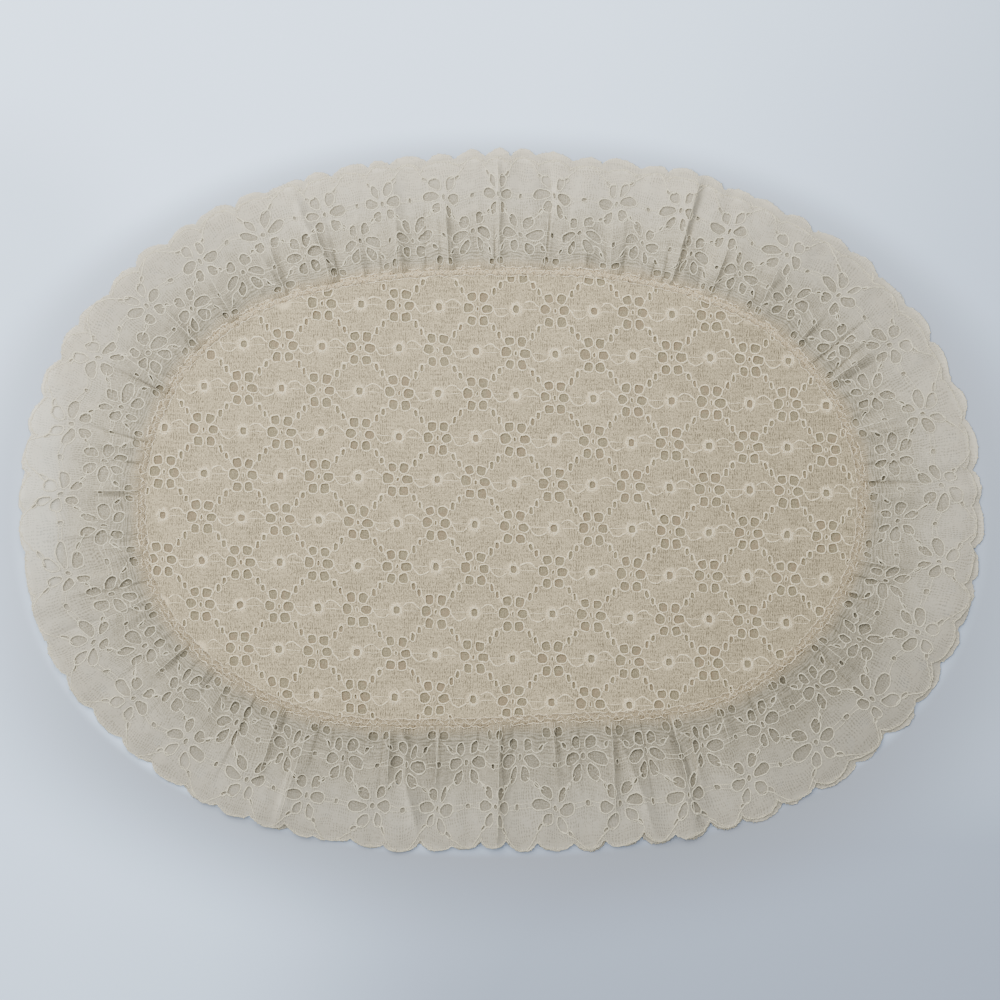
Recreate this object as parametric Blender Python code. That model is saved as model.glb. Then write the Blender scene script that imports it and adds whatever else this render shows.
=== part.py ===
"""Oval lace doily: a two-layer centre with a double gathered frill, lying flat.

Metres, +Z up, +X along the doily's length, +Y towards its back edge. The origin is under
the middle of the whole outline, on the surface that the doily lies on.
"""

import math

import bmesh
import bpy
import numpy as np

MM = 0.001

# The oval seam where the frills are gathered onto the centre.
SEAM_HALF_LENGTH = 169.0 * MM
SEAM_HALF_WIDTH = 108.5 * MM
BACK_CORNER_POWER = 2.39  # the back corners are the rounder ones
FRONT_CORNER_POWER = 2.59
SEAM_SAMPLES = 20000
NORMAL_REACH = 0.004  # share of the seam over which its direction is averaged

# Sheets, and the room between them.
SHEET = 1.0 * MM
GAP = 0.35 * MM
FRILL_GAP = 0.65 * MM  # between the frills, which don't fold quite alike
STEEPEST_THICKENING = 1.8  # how much a sheet may thicken upwards where a pleat is steep
PANEL_CORNERS = 144

# The frills. Their lace has two scallops to each repeat.
SCALLOP_DEPTH = 3.0 * MM
SCALLOP_FULLNESS = 0.6
STATIONS = (0.0, 0.18, 0.45, 0.72, 1.0)  # shares of the frill's width
FIRST_VALLEY = 0.25  # where its scallops meet, as shares of a repeat
SECOND_VALLEY = 0.75
VALLEY_ROOM = 0.06  # a pleat's foot this close to one takes its place
LOWER_FOLD_SHARE = 0.25  # the lower frill's folds, beside the upper one's
STEEP_FOOT = 0.06  # a pleat's short side, in repeats
SOFT_FOOT = 0.20  # its long side
FIRST_FOOT = 0.08  # the least share of a repeat before a pleat begins
GATHERED_RISE = 0.25  # share of a pleat's height that is left at the seam
FULL_RISE_AT = 0.22  # share of the frill's width where a pleat stands highest
PLEAT_FADE = 0.30  # share of the width over which a pleat dies away
PEEK_MIDDLE = 2.2 * MM  # how far the lower frill shows past the upper one
PEEK_SWING = 2.3 * MM
PEEK_MOST_AT = 60.0  # degrees

# Width of the frill round the doily. Places are in degrees of seam length, counter-clockwise
# from the right-hand end.
# at, width mm
FRILL_WIDTHS = (
    (0.0, 56.5),
    (30.0, 50.5),
    (60.0, 52.5),
    (90.0, 54.5),
    (120.0, 51.5),
    (150.0, 50.5),
    (180.0, 55.5),
    (210.0, 53.5),
    (240.0, 56.5),
    (270.0, 55.0),
    (300.0, 57.0),
    (330.0, 56.0),
)

# Where the free edge stands off the surface.
# at, half span in degrees, lift mm
EDGE_LIFTS = (
    (186.0, 30.0, 5.0),
    (92.0, 12.0, 2.0),
    (58.0, 9.0, 1.5),
    (232.0, 14.0, 2.0),
    (268.0, 12.0, 1.5),
    (296.0, 12.0, 2.0),
    (345.0, 20.0, 1.5),
)

# One row for each repeat of the frill's lace. flower: where the repeat starts, in degrees.
# pleat: the fold that follows, as a share of the way to the next repeat. rise: its height
# in mm. steep: 1 if it falls away on its far side, -1 on its near side. reach: how far out
# it runs, as a share of the frill's width.
# flower, pleat, rise, steep, reach
REPEATS = (
    (7.0, 0.52, 3.0, 1, 0.55),
    (17.5, 0.52, 3.5, 1, 0.60),
    (27.0, 0.50, 2.5, -1, 0.50),
    (37.0, 0.42, 3.5, 1, 0.65),
    (46.5, 0.41, 3.5, -1, 0.60),
    (55.5, 0.26, 4.5, -1, 1.30),
    (64.0, 0.48, 3.0, 1, 0.60),
    (74.8, 0.60, 3.0, -1, 0.60),
    (85.6, 0.46, 4.0, -1, 1.30),
    (94.0, 0.44, 3.5, -1, 0.75),
    (104.8, 0.38, 3.5, 1, 0.60),
    (113.8, 0.68, 3.5, -1, 0.70),
    (123.8, 0.50, 4.0, -1, 0.65),
    (134.8, 0.50, 4.0, 1, 0.60),
    (144.6, 0.32, 4.0, -1, 0.60),
    (154.3, 0.33, 4.0, -1, 0.65),
    (163.5, 0.68, 2.5, 1, 0.55),
    (173.0, 0.45, 3.0, 1, 0.50),
    (183.5, 0.37, 2.0, -1, 0.45),
    (195.0, 0.26, 3.0, -1, 0.60),
    (204.0, 0.50, 2.0, 1, 0.50),
    (213.0, 0.55, 2.0, 1, 0.50),
    (223.0, 0.65, 4.5, 1, 0.75),
    (232.5, 0.26, 3.0, -1, 1.10),
    (242.0, 0.66, 3.5, 1, 0.60),
    (253.2, 0.48, 4.0, -1, 0.60),
    (263.8, 0.61, 4.5, 1, 1.30),
    (272.9, 0.52, 2.5, 1, 0.50),
    (284.6, 0.48, 4.0, 1, 0.90),
    (295.4, 0.54, 4.5, -1, 1.00),
    (305.5, 0.40, 3.0, -1, 0.45),
    (315.5, 0.41, 2.5, 1, 0.50),
    (326.5, 0.54, 4.0, -1, 0.50),
    (336.0, 0.38, 2.0, 1, 0.50),
    (346.0, 0.26, 3.0, -1, 0.50),
    (355.5, 0.43, 2.5, 1, 0.60),
)

# Finishes: colour (linear), roughness.
CENTRE_LACE = ((0.66, 0.60, 0.49), 0.92)
BACKING_KNIT = ((0.46, 0.39, 0.29), 0.95)
UPPER_FRILL_LACE = ((0.64, 0.62, 0.54), 0.90)
LOWER_FRILL_LACE = ((0.58, 0.56, 0.48), 0.92)


def clear_scene():
    for old in list(bpy.data.objects):
        bpy.data.objects.remove(old, do_unlink=True)


def finish(name, look):
    colour, roughness = look
    material = bpy.data.materials.new(name)
    material.use_nodes = True
    shader = material.node_tree.nodes["Principled BSDF"]
    shader.inputs["Base Color"].default_value = (*colour, 1.0)
    shader.inputs["Roughness"].default_value = roughness
    shader.inputs["Metallic"].default_value = 0.0
    return material


def seam_curve():
    """The seam oval, densely sampled: running length, x and y."""
    turn = np.linspace(0.0, 2.0 * math.pi, SEAM_SAMPLES + 1)
    power = np.where(np.sin(turn) > 0.0, BACK_CORNER_POWER, FRONT_CORNER_POWER)
    x = SEAM_HALF_LENGTH * np.sign(np.cos(turn)) * np.abs(np.cos(turn)) ** (2.0 / power)
    y = SEAM_HALF_WIDTH * np.sign(np.sin(turn)) * np.abs(np.sin(turn)) ** (2.0 / power)
    steps = np.hypot(np.diff(x), np.diff(y))
    return np.concatenate(([0.0], np.cumsum(steps))), x, y


def on_seam(degrees):
    """Points on the seam and its outward directions, at degrees of seam length."""
    length, x, y = seam_curve()
    share = np.asarray(degrees) / 360.0

    def point(at):
        along = np.mod(at, 1.0) * length[-1]
        return np.interp(along, length, x), np.interp(along, length, y)

    px, py = point(share)
    ahead_x, ahead_y = point(share + NORMAL_REACH)
    behind_x, behind_y = point(share - NORMAL_REACH)
    tx = ahead_x - behind_x
    ty = ahead_y - behind_y
    size = np.hypot(tx, ty)
    return px, py, ty / size, -tx / size


def round_trip(table, column):
    """A table's places and one of its columns, with the first row repeated a turn later."""
    at = [row[0] for row in table]
    values = [row[column] for row in table]
    return at + [at[0] + 360.0], values + [values[0]]


def degrees_of(repeat):
    """Degrees of seam length of a place counted in repeats of the frill's lace."""
    starts = [row[0] for row in REPEATS]
    starts.append(starts[0] + 360.0)
    return np.interp(repeat, range(len(starts)), starts)


def frill_width(degrees):
    at, width = round_trip(FRILL_WIDTHS, 1)
    return np.interp(np.mod(degrees, 360.0), at, width) * MM


def scallop(repeat):
    """0 between two scallops and 1 at the middle of one."""
    return np.abs(np.cos(2.0 * math.pi * repeat)) ** SCALLOP_FULLNESS


def pleat_feet(row):
    """Near foot, crest and far foot of a pleat, as shares of its repeat."""
    crest, steep = row[1], row[3]
    near = STEEP_FOOT if steep < 0 else SOFT_FOOT
    far = STEEP_FOOT if steep > 0 else SOFT_FOOT
    return max(crest - near, FIRST_FOOT), crest, crest + far


def pleat_height(share, row):
    """Height of one pleat, 0 to 1, across its repeat."""
    near, crest, far = pleat_feet(row)
    return float(np.interp(share, (near, crest, far), (0.0, 1.0, 0.0)))


def pleat_strength(station, reach):
    """Share of a pleat's height at a station from the seam (0) to the free edge (1)."""
    rising = np.interp(station, (0.0, FULL_RISE_AT), (GATHERED_RISE, 1.0))
    fading = np.clip((reach - station) / PLEAT_FADE, 0.0, 1.0)
    return float(rising * fading)


def edge_lift(degrees, station):
    """How far the cloth stands off the surface towards its free edge."""
    lift = 0.0
    for at, span, height in EDGE_LIFTS:
        away = abs((degrees - at + 180.0) % 360.0 - 180.0)
        if away < span:
            lift += height * MM * 0.5 * (1.0 + math.cos(math.pi * away / span))
    return lift * station**2


def fold_height(index, share, station):
    """Height of the frill's folds over a flat lie, in repeat index at a share of it."""
    row = REPEATS[index]
    pleat = row[2] * MM * pleat_height(share, row) * pleat_strength(station, row[4])
    return pleat + edge_lift(float(degrees_of(index + share)), station)


def frill_columns():
    """Where the frill's sections stand: (repeat index, share of it), on and beside each pleat."""
    columns = []
    for index, row in enumerate(REPEATS):
        near, crest, far = pleat_feet(row)
        before = FIRST_VALLEY if near > FIRST_VALLEY + VALLEY_ROOM else near / 2.0
        after = SECOND_VALLEY if far < SECOND_VALLEY - VALLEY_ROOM else (far + 1.0) / 2.0
        columns.extend((index, share) for share in (0.0, before, near, crest, far, after))
    return columns


def edge_width(repeat, peek_share, scallop_shift):
    """How far a frill reaches from the seam. peek_share is 1 for the one that shows past."""
    degrees = degrees_of(repeat)
    peek = PEEK_MIDDLE + PEEK_SWING * np.cos(np.radians(degrees - PEEK_MOST_AT))
    hollow = SCALLOP_DEPTH * (1.0 - scallop(repeat + scallop_shift))
    return frill_width(degrees) - peek * (1.0 - peek_share) - hollow


def grid_of(fold_share, base, peek_share, scallop_shift):
    """Underside of a frill: positions [station, column, xyz] on its folds."""
    columns = frill_columns()
    repeat = np.array([index + share for index, share in columns])
    px, py, nx, ny = on_seam(degrees_of(repeat))
    shared_width = edge_width(repeat, 0.0, 0.0)
    own_width = edge_width(repeat, peek_share, scallop_shift)
    grid = np.zeros((len(STATIONS), len(columns), 3))
    for i, station in enumerate(STATIONS):
        width = own_width if station == STATIONS[-1] else shared_width
        folds = [fold_height(index, share, station) for index, share in columns]
        grid[i, :, 0] = px + nx * width * station
        grid[i, :, 1] = py + ny * width * station
        grid[i, :, 2] = base + fold_share * np.array(folds)
    return grid


def slope_between(grid, shifted):
    step = shifted - grid
    return np.abs(step[..., 2]) / np.hypot(step[..., 0], step[..., 1])


def thickened(grid):
    """The frill's upper face, a sheet's thickness over its underside, more on the steep."""
    ahead = np.roll(grid, -1, axis=1)
    behind = np.roll(grid, 1, axis=1)
    slope = 0.5 * (slope_between(grid, ahead) + slope_between(grid, behind))
    top = grid.copy()
    top[..., 2] += SHEET * np.minimum(np.sqrt(1.0 + slope**2), STEEPEST_THICKENING)
    return top


def ring_mesh(name, under, over):
    """A closed ring between two grids of the same shape."""
    mesh_maker = bmesh.new()
    low = [[mesh_maker.verts.new(point) for point in line] for line in under]
    high = [[mesh_maker.verts.new(point) for point in line] for line in over]
    rows, columns = under.shape[:2]
    edge = rows - 1
    for c in range(columns):
        d = (c + 1) % columns
        for r in range(edge):
            mesh_maker.faces.new((low[r][c], low[r][d], low[r + 1][d], low[r + 1][c]))
            mesh_maker.faces.new((high[r][c], high[r + 1][c], high[r + 1][d], high[r][d]))
        mesh_maker.faces.new((low[0][c], high[0][c], high[0][d], low[0][d]))
        mesh_maker.faces.new((low[edge][c], low[edge][d], high[edge][d], high[edge][c]))
    return meshed(name, mesh_maker)


def oval_panel(name, base):
    """A flat oval sheet that fills the seam, a small gap inside it."""
    px, py, nx, ny = on_seam(np.arange(PANEL_CORNERS) * 360.0 / PANEL_CORNERS)
    mesh_maker = bmesh.new()
    corners = [mesh_maker.verts.new((x, y, base)) for x, y in zip(px - nx * GAP, py - ny * GAP)]
    floor = mesh_maker.faces.new(corners)
    raised = bmesh.ops.extrude_face_region(mesh_maker, geom=[floor])
    new_verts = [item for item in raised["geom"] if isinstance(item, bmesh.types.BMVert)]
    bmesh.ops.translate(mesh_maker, verts=new_verts, vec=(0.0, 0.0, SHEET))
    return meshed(name, mesh_maker)


def meshed(name, mesh_maker):
    bmesh.ops.triangulate(mesh_maker, faces=mesh_maker.faces[:])
    bmesh.ops.recalc_face_normals(mesh_maker, faces=mesh_maker.faces[:])
    mesh = bpy.data.meshes.new(name)
    mesh_maker.to_mesh(mesh)
    mesh_maker.free()
    return mesh


def placed(name, mesh, look):
    mesh.materials.append(finish(name, look))
    piece = bpy.data.objects.new(name, mesh)
    bpy.context.scene.collection.objects.link(piece)
    return piece


def backing_panel():
    return placed("backing_panel", oval_panel("backing_panel", 0.0), BACKING_KNIT)


def centre_panel():
    base = SHEET + GAP
    return placed("centre_panel", oval_panel("centre_panel", base), CENTRE_LACE)


def lower_frill():
    under = grid_of(LOWER_FOLD_SHARE, 0.0, 1.0, 0.25)
    return placed("lower_frill", ring_mesh("lower_frill", under, thickened(under)), LOWER_FRILL_LACE)


def upper_frill():
    base = SHEET + FRILL_GAP
    under = grid_of(1.0, base, 0.0, 0.0)
    return placed("upper_frill", ring_mesh("upper_frill", under, thickened(under)), UPPER_FRILL_LACE)


def centre_on_origin(pieces):
    """Brings the middle of the whole outline over the origin."""
    low = np.full(2, np.inf)
    high = np.full(2, -np.inf)
    for piece in pieces:
        for vertex in piece.data.vertices:
            spot = np.array(vertex.co[:2])
            low = np.minimum(low, spot)
            high = np.maximum(high, spot)
    middle = (low + high) / 2.0
    for piece in pieces:
        piece.location = (-middle[0], -middle[1], 0.0)


def build():
    clear_scene()
    pieces = [backing_panel(), centre_panel(), lower_frill(), upper_frill()]
    centre_on_origin(pieces)


build()
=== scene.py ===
"""Looks of the oval lace doily: lace sheets with real eyelets, gimp cords and seam stitches.

Metres, +Z up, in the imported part's frame. Lace is drawn flat, in millimetres, and then laid on
the folded sheets. Degrees are shares of the seam's length, from the right-hand end towards the
back edge.
"""

import math

import bpy
import numpy as np
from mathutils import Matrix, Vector
from mathutils.geometry import delaunay_2d_cdt
from mathutils.kdtree import KDTree


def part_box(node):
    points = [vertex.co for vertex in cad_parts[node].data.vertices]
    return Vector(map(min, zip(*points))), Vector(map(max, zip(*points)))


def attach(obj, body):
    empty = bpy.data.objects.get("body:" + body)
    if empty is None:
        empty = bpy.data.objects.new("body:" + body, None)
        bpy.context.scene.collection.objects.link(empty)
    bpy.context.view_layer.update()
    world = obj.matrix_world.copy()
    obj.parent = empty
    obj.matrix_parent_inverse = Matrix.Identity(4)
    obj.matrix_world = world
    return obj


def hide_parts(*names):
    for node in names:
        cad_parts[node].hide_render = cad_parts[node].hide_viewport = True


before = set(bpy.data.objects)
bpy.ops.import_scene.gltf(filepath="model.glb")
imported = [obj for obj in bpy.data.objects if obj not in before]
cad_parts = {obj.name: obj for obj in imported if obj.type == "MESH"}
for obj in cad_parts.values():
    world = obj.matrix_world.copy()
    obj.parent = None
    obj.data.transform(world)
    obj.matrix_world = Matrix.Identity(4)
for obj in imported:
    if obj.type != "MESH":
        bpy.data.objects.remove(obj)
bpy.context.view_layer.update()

MM = 0.001
TAU = 2.0 * math.pi
LACE_THICKNESS = 0.22 * MM
NET_THICKNESS = 0.18 * MM
BACKING_THICKNESS = 0.40 * MM

# ---- The seam oval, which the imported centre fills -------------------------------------
PANEL_GAP = 0.35 * MM
BACK_CORNER_POWER = 2.39
FRONT_CORNER_POWER = 2.59
SEAM_SAMPLES = 20000
NORMAL_REACH = 0.004  # share of the seam, to either side, over which its direction is averaged

panel_low, panel_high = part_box("backing_panel")
SEAM_HALF_LENGTH = (panel_high.x - panel_low.x) / 2.0 + PANEL_GAP
SEAM_HALF_WIDTH = (panel_high.y - panel_low.y) / 2.0 + PANEL_GAP
SEAM_CENTRE = ((panel_high.x + panel_low.x) / 2.0, (panel_high.y + panel_low.y) / 2.0)

BACKING_LEVEL = panel_low.z + 0.95 * MM
CENTRE_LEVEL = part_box("centre_panel")[0].z + 0.05 * MM
LOWER_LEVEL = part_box("lower_frill")[0].z + 1.28 * MM
UPPER_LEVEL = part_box("upper_frill")[0].z + 0.05 * MM

# How far outside the even oval the sewn line really runs: at (degrees), mm
SEAM_LINE = (
    (0.0, 1.4),
    (6.0, 1.4),
    (13.0, -1.4),
    (28.0, -2.8),
    (35.0, -0.6),
    (74.0, -0.2),
    (84.0, -1.2),
    (98.0, -0.9),
    (116.0, -0.3),
    (133.0, 1.3),
    (148.0, 0.0),
    (162.0, -2.6),
    (174.0, -0.4),
    (195.0, -0.2),
    (206.0, -1.5),
    (219.0, -0.5),
    (231.0, 2.3),
    (245.0, 1.5),
    (257.0, -1.4),
    (266.0, -1.8),
    (278.0, -4.0),
    (290.0, -3.2),
    (308.0, 1.0),
    (330.0, -2.9),
    (341.0, -2.2),
    (352.0, 1.0),
)
LINE_TO_JOIN = 1.0  # mm from the sewn line in to where the sheets are joined
LINE_SMOOTHING = 5

# ---- The frill's plan and folds, as the solids have them ------------------------------
PEEK_MIDDLE = 1.95 * MM  # how far the lower frill shows past the upper one
PEEK_SWING = 2.3 * MM
PEEK_MOST_AT = 60.0
OUTLINE_WANDER = 0.7 * MM
UPPER_UNEVEN = 0.4 * MM
LOWER_UNEVEN = 0.5 * MM
LOWER_FOLD_SHARE = 0.85  # the lower frill's folds, beside the upper one's
PRESSED = 0.85  # how much of a pleat's height is left
UPPER_GATHERS = 1.0
LOWER_GATHERS = 0.15
STEEP_FOOT = 0.12  # a pleat's short side, in repeats
SOFT_FOOT = 0.32
PLEAT_LEAN = 0.10  # how far, in repeats, a pleat may lean on its way out
PLEAT_LEAN_TURN = 2.4
CREST_SHARPNESS = 1.4
GATHERED_RISE = 0.25  # share of a pleat's height that is left at the seam
FULL_RISE_AT = 0.22
PLEAT_FADE = 0.30
RIM_START = 0.80  # share of the width where the cloth starts to sink towards its rim
UPPER_RIM_DROP = 0.95 * MM
LOWER_RIM_DROP = 1.10 * MM
UPPER_RIM_CALM = 0.45
LOWER_RIM_CALM = 0.80
LEAN_DEGREES = 1.2
SWELL = 0.45 * MM
FLUTTER = 0.55 * MM
FLUTTER_POWER = 2.5
OWN_FLUTTER = 0.12 * MM
OWN_FLUTTER_SHIFT = 40.0

# The frill's width in mm at every 30 degrees
FRILL_WIDTHS = (56.5, 50.5, 52.5, 54.5, 51.5, 50.5, 55.5, 53.5, 56.5, 55.0, 57.0, 56.0)

# Where the rim stands off the table: at (degrees), half span in degrees, lift mm
EDGE_LIFTS = (
    (186.0, 30.0, 5.0),
    (92.0, 12.0, 2.0),
    (58.0, 9.0, 1.5),
    (232.0, 14.0, 2.0),
    (268.0, 12.0, 1.5),
    (296.0, 12.0, 2.0),
    (345.0, 20.0, 1.5),
)

# One row for each repeat of the frill's lace: where its flower stands (degrees), its pleat's
# crest as a share of the way to the next flower, the pleat's rise in mm, the side it falls
# away on, and how far out it runs.
# flower, pleat, rise, steep, reach
REPEATS = (
    (7.0, 0.52, 3.0, 1, 0.55),
    (17.5, 0.52, 3.5, 1, 0.60),
    (27.0, 0.50, 2.5, -1, 0.50),
    (37.0, 0.42, 3.5, 1, 0.65),
    (46.5, 0.41, 3.5, -1, 0.60),
    (55.5, 0.26, 3.6, -1, 1.30),
    (64.0, 0.48, 3.0, 1, 0.60),
    (74.8, 0.60, 3.0, -1, 0.60),
    (85.6, 0.46, 2.4, -1, 1.30),
    (94.0, 0.44, 3.5, -1, 0.75),
    (104.8, 0.38, 3.5, 1, 0.60),
    (113.8, 0.68, 3.5, -1, 0.70),
    (123.8, 0.50, 4.0, -1, 0.65),
    (134.8, 0.50, 4.0, 1, 0.60),
    (144.6, 0.32, 4.0, -1, 0.60),
    (154.3, 0.33, 4.0, -1, 0.65),
    (163.5, 0.68, 2.5, 1, 0.55),
    (173.0, 0.45, 3.0, 1, 0.50),
    (183.5, 0.37, 2.0, -1, 0.45),
    (195.0, 0.26, 3.0, -1, 0.60),
    (204.0, 0.50, 2.0, 1, 0.50),
    (213.0, 0.55, 2.0, 1, 0.50),
    (223.0, 0.65, 3.8, 1, 0.75),
    (232.5, 0.26, 3.0, -1, 1.10),
    (242.0, 0.66, 3.5, 1, 0.60),
    (253.2, 0.48, 4.0, -1, 0.60),
    (263.8, 0.61, 3.0, 1, 1.30),
    (272.9, 0.52, 2.5, 1, 0.50),
    (284.6, 0.48, 3.4, 1, 0.90),
    (295.4, 0.54, 4.5, -1, 1.00),
    (305.5, 0.40, 3.0, -1, 0.45),
    (315.5, 0.41, 2.5, 1, 0.50),
    (326.5, 0.54, 4.0, -1, 0.50),
    (336.0, 0.38, 2.0, 1, 0.50),
    (346.0, 0.26, 3.0, -1, 0.50),
    (355.5, 0.43, 2.5, 1, 0.60),
)
REPEAT_COUNT = len(REPEATS)
FLOWERS_AT = np.array([row[0] for row in REPEATS] + [REPEATS[0][0] + 360.0])

# Small gathers that start in the seam: how many, and their sizes in mm, degrees and shares
GATHER_COUNT = 128
GATHER_JITTER = 0.42
GATHER_HEIGHTS = (0.5, 1.9)
GATHER_HALF_WIDTHS = (3.0, 7.5)
GATHER_REACHES = (0.20, 0.85)
GATHER_LEAN = 1.6
GATHER_STEP = 0.40
GATHER_WIDENING = 0.6
GATHER_RISE_AT_SEAM = 0.55
GATHER_FULL_AT = 0.10

# ---- The frill's lace, flat, in mm: x along it from a near flower, t out from the seam --
REPEAT = 35.0
STRIP = 53.0
SCALLOP_DEPTH = 3.2
SCALLOP_FULLNESS = 0.6
SCALLOP_UNEVEN = 0.40
RIM_INSET = 0.35
NEAR_ROW = 16.4
FAR_ROW = 35.0
FOOT_ROW = 5.0
HALF = REPEAT / 2.0
TOTAL = REPEAT * REPEAT_COUNT
BIG_EYELET = 3.6  # an eyelet longer than this has more corners and a thicker cord

# x, t from the flower's middle, length, breadth, heading of the length in degrees,
# squareness, and how much wider the far end is.
FLOWER_EYELETS = (
    (6.5, 0.0, 8.2, 4.9, 0.0, 1.95, 0.20),
    (-6.5, 0.0, 8.2, 4.9, 180.0, 1.95, 0.20),
    (3.75, 6.2, 6.8, 4.5, 62.0, 1.75, 0.20),
    (-3.75, 6.2, 6.8, 4.5, 118.0, 1.75, 0.20),
    (3.9, -6.1, 6.3, 4.5, -58.0, 1.8, 0.20),
    (-3.9, -6.1, 6.3, 4.5, -122.0, 1.8, 0.20),
    (0.0, 0.0, 2.6, 1.9, 90.0, 2.0, 0.0),
)

# How far the lace is drawn out of true, in mm, and how closely that varies.
PULL_ALONG = 1.3
PULL_OUT = 1.5
PULL_CYCLES = (22, 58)
PULL_SHORTEST = 38.0
PULL_HELD_IN = 10.0
PULL_HELD_OUT = 8.0
UNPULL_STEPS = 4

WAVE_COUNT = 7
WAVE_PEAK = 1.6  # how far such a sum of waves goes beyond its usual size


def seam_curve():
    """The seam oval, densely sampled: running length, x and y."""
    turn = np.linspace(0.0, TAU, SEAM_SAMPLES + 1)
    power = np.where(np.sin(turn) > 0.0, BACK_CORNER_POWER, FRONT_CORNER_POWER)
    x = SEAM_HALF_LENGTH * np.sign(np.cos(turn)) * np.abs(np.cos(turn)) ** (2.0 / power)
    y = SEAM_HALF_WIDTH * np.sign(np.sin(turn)) * np.abs(np.sin(turn)) ** (2.0 / power)
    steps = np.hypot(np.diff(x), np.diff(y))
    length = np.concatenate(([0.0], np.cumsum(steps)))
    return length, x + SEAM_CENTRE[0], y + SEAM_CENTRE[1]


SEAM = seam_curve()
SEAM_LENGTH = SEAM[0][-1]
SEAM_MM = SEAM_LENGTH / MM
DEGREES_PER_MM = MM / SEAM_LENGTH * 360.0
SEAM_HEADINGS = np.unwrap(np.arctan2(SEAM[2] - SEAM_CENTRE[1], SEAM[1] - SEAM_CENTRE[0]))


def smooth_seam_line():
    """How far outside the even oval the sheets are joined, in mm at each whole degree."""
    at = [row[0] for row in SEAM_LINE] + [360.0]
    out = [row[1] for row in SEAM_LINE] + [SEAM_LINE[0][1]]
    line = np.interp(np.arange(360.0), at, out)
    for _ in range(LINE_SMOOTHING):
        line = (np.roll(line, 2) + line + np.roll(line, -2)) / 3.0
    return line - LINE_TO_JOIN


JOIN_LINE = smooth_seam_line()


def round_the_seam(values, degrees):
    """Reads evenly spaced values in mm that go once round the seam, in metres."""
    at = np.linspace(0.0, 360.0, len(values) + 1)
    return np.interp(np.mod(degrees, 360.0), at, (*values, values[0])) * MM


def on_seam(degrees):
    """Points on the even oval and its outward directions."""
    length, x, y = SEAM
    share = np.asarray(degrees) / 360.0

    def point(at):
        along = np.mod(at, 1.0) * SEAM_LENGTH
        return np.interp(along, length, x), np.interp(along, length, y)

    px, py = point(share)
    ahead_x, ahead_y = point(share + NORMAL_REACH)
    behind_x, behind_y = point(share - NORMAL_REACH)
    tx = ahead_x - behind_x
    ty = ahead_y - behind_y
    size = np.hypot(tx, ty)
    return px, py, ty / size, -tx / size


def on_join(degrees):
    """The same along the line where the sheets are really joined."""
    px, py, nx, ny = on_seam(degrees)
    away = round_the_seam(JOIN_LINE, degrees)
    return px + nx * away, py + ny * away, nx, ny


def ripple(seed, fewest, most, waves=9):
    """A smooth random function of degrees that closes on itself, about -1 to 1."""
    rng = np.random.default_rng(seed)
    cycles = rng.integers(fewest, most + 1, waves)
    phases = rng.uniform(0.0, TAU, waves)
    sizes = rng.uniform(0.5, 1.0, waves)
    sizes = sizes / np.sqrt(np.sum(sizes**2) / 2.0) / WAVE_PEAK

    def value(degrees):
        turn = np.radians(np.asarray(degrees))[..., None]
        return np.sum(sizes * np.sin(turn * cycles + phases), axis=-1)

    return value


def plane_waves(kx, ky, phases):
    """A sum of waves over a plane, about -1 to 1."""
    size = math.sqrt(2.0 / WAVE_COUNT) / WAVE_PEAK

    def value(x, y):
        wave = np.asarray(x)[..., None] * kx + np.asarray(y)[..., None] * ky
        return size * np.sum(np.sin(wave + phases), axis=-1)

    return value


def field(seed, shortest, longest):
    """A smooth random function of flat x and y in mm."""
    rng = np.random.default_rng(seed)
    length = rng.uniform(shortest, longest, WAVE_COUNT)
    heading = rng.uniform(0.0, TAU, WAVE_COUNT)
    phases = rng.uniform(0.0, TAU, WAVE_COUNT)
    return plane_waves(TAU * np.cos(heading) / length, TAU * np.sin(heading) / length, phases)


def closed_field(seed):
    """A smooth random function of the flat strip that closes round it."""
    rng = np.random.default_rng(seed)
    kx = rng.integers(*PULL_CYCLES, WAVE_COUNT) * TAU / TOTAL
    kt = rng.uniform(-1.0, 1.0, WAVE_COUNT) * TAU / PULL_SHORTEST
    return plane_waves(kx, kt, rng.uniform(0.0, TAU, WAVE_COUNT))


# seed, fewest and most waves round the doily
wander_wide = ripple(3, 9, 34)
flutter_wave = ripple(8, 34, 95)
swell_wave = ripple(11, 25, 70)
lean_wave = ripple(15, 8, 40)
scallop_depth = ripple(61, 20, 90)
scallop_reach = ripple(63, 15, 70)


# ---- Folds -----------------------------------------------------------------------------
def turned(away):
    """Brings a difference in degrees between -180 and 180."""
    return (away + 180.0) % 360.0 - 180.0


def eased(share):
    """0 to 1 with a soft start and end."""
    return share * share * (3.0 - 2.0 * share)


def repeat_of(degrees):
    """Counts degrees in repeats of the frill's lace."""
    around = (np.asarray(degrees) - FLOWERS_AT[0]) % 360.0 + FLOWERS_AT[0]
    return np.interp(around, FLOWERS_AT, np.arange(REPEAT_COUNT + 1.0))


def peek(degrees):
    """How far the lower frill shows past the upper one."""
    return PEEK_MIDDLE + PEEK_SWING * np.cos(np.radians(degrees - PEEK_MOST_AT))


def make_gathers():
    """A row for each gather: at, half width, rise, reach, lean and the side it faces."""
    rng = np.random.default_rng(21)
    jitter = rng.uniform(-GATHER_JITTER, GATHER_JITTER, GATHER_COUNT)
    columns = [
        (np.arange(GATHER_COUNT) + jitter) / GATHER_COUNT * 360.0,
        rng.uniform(*GATHER_HALF_WIDTHS, GATHER_COUNT) * DEGREES_PER_MM,
        rng.uniform(*GATHER_HEIGHTS, GATHER_COUNT) * MM,
        rng.uniform(*GATHER_REACHES, GATHER_COUNT),
        rng.uniform(-GATHER_LEAN, GATHER_LEAN, GATHER_COUNT),
        rng.choice((-1.0, 1.0), GATHER_COUNT),
    ]
    return np.stack(columns, axis=1)


GATHERS = make_gathers()


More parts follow.
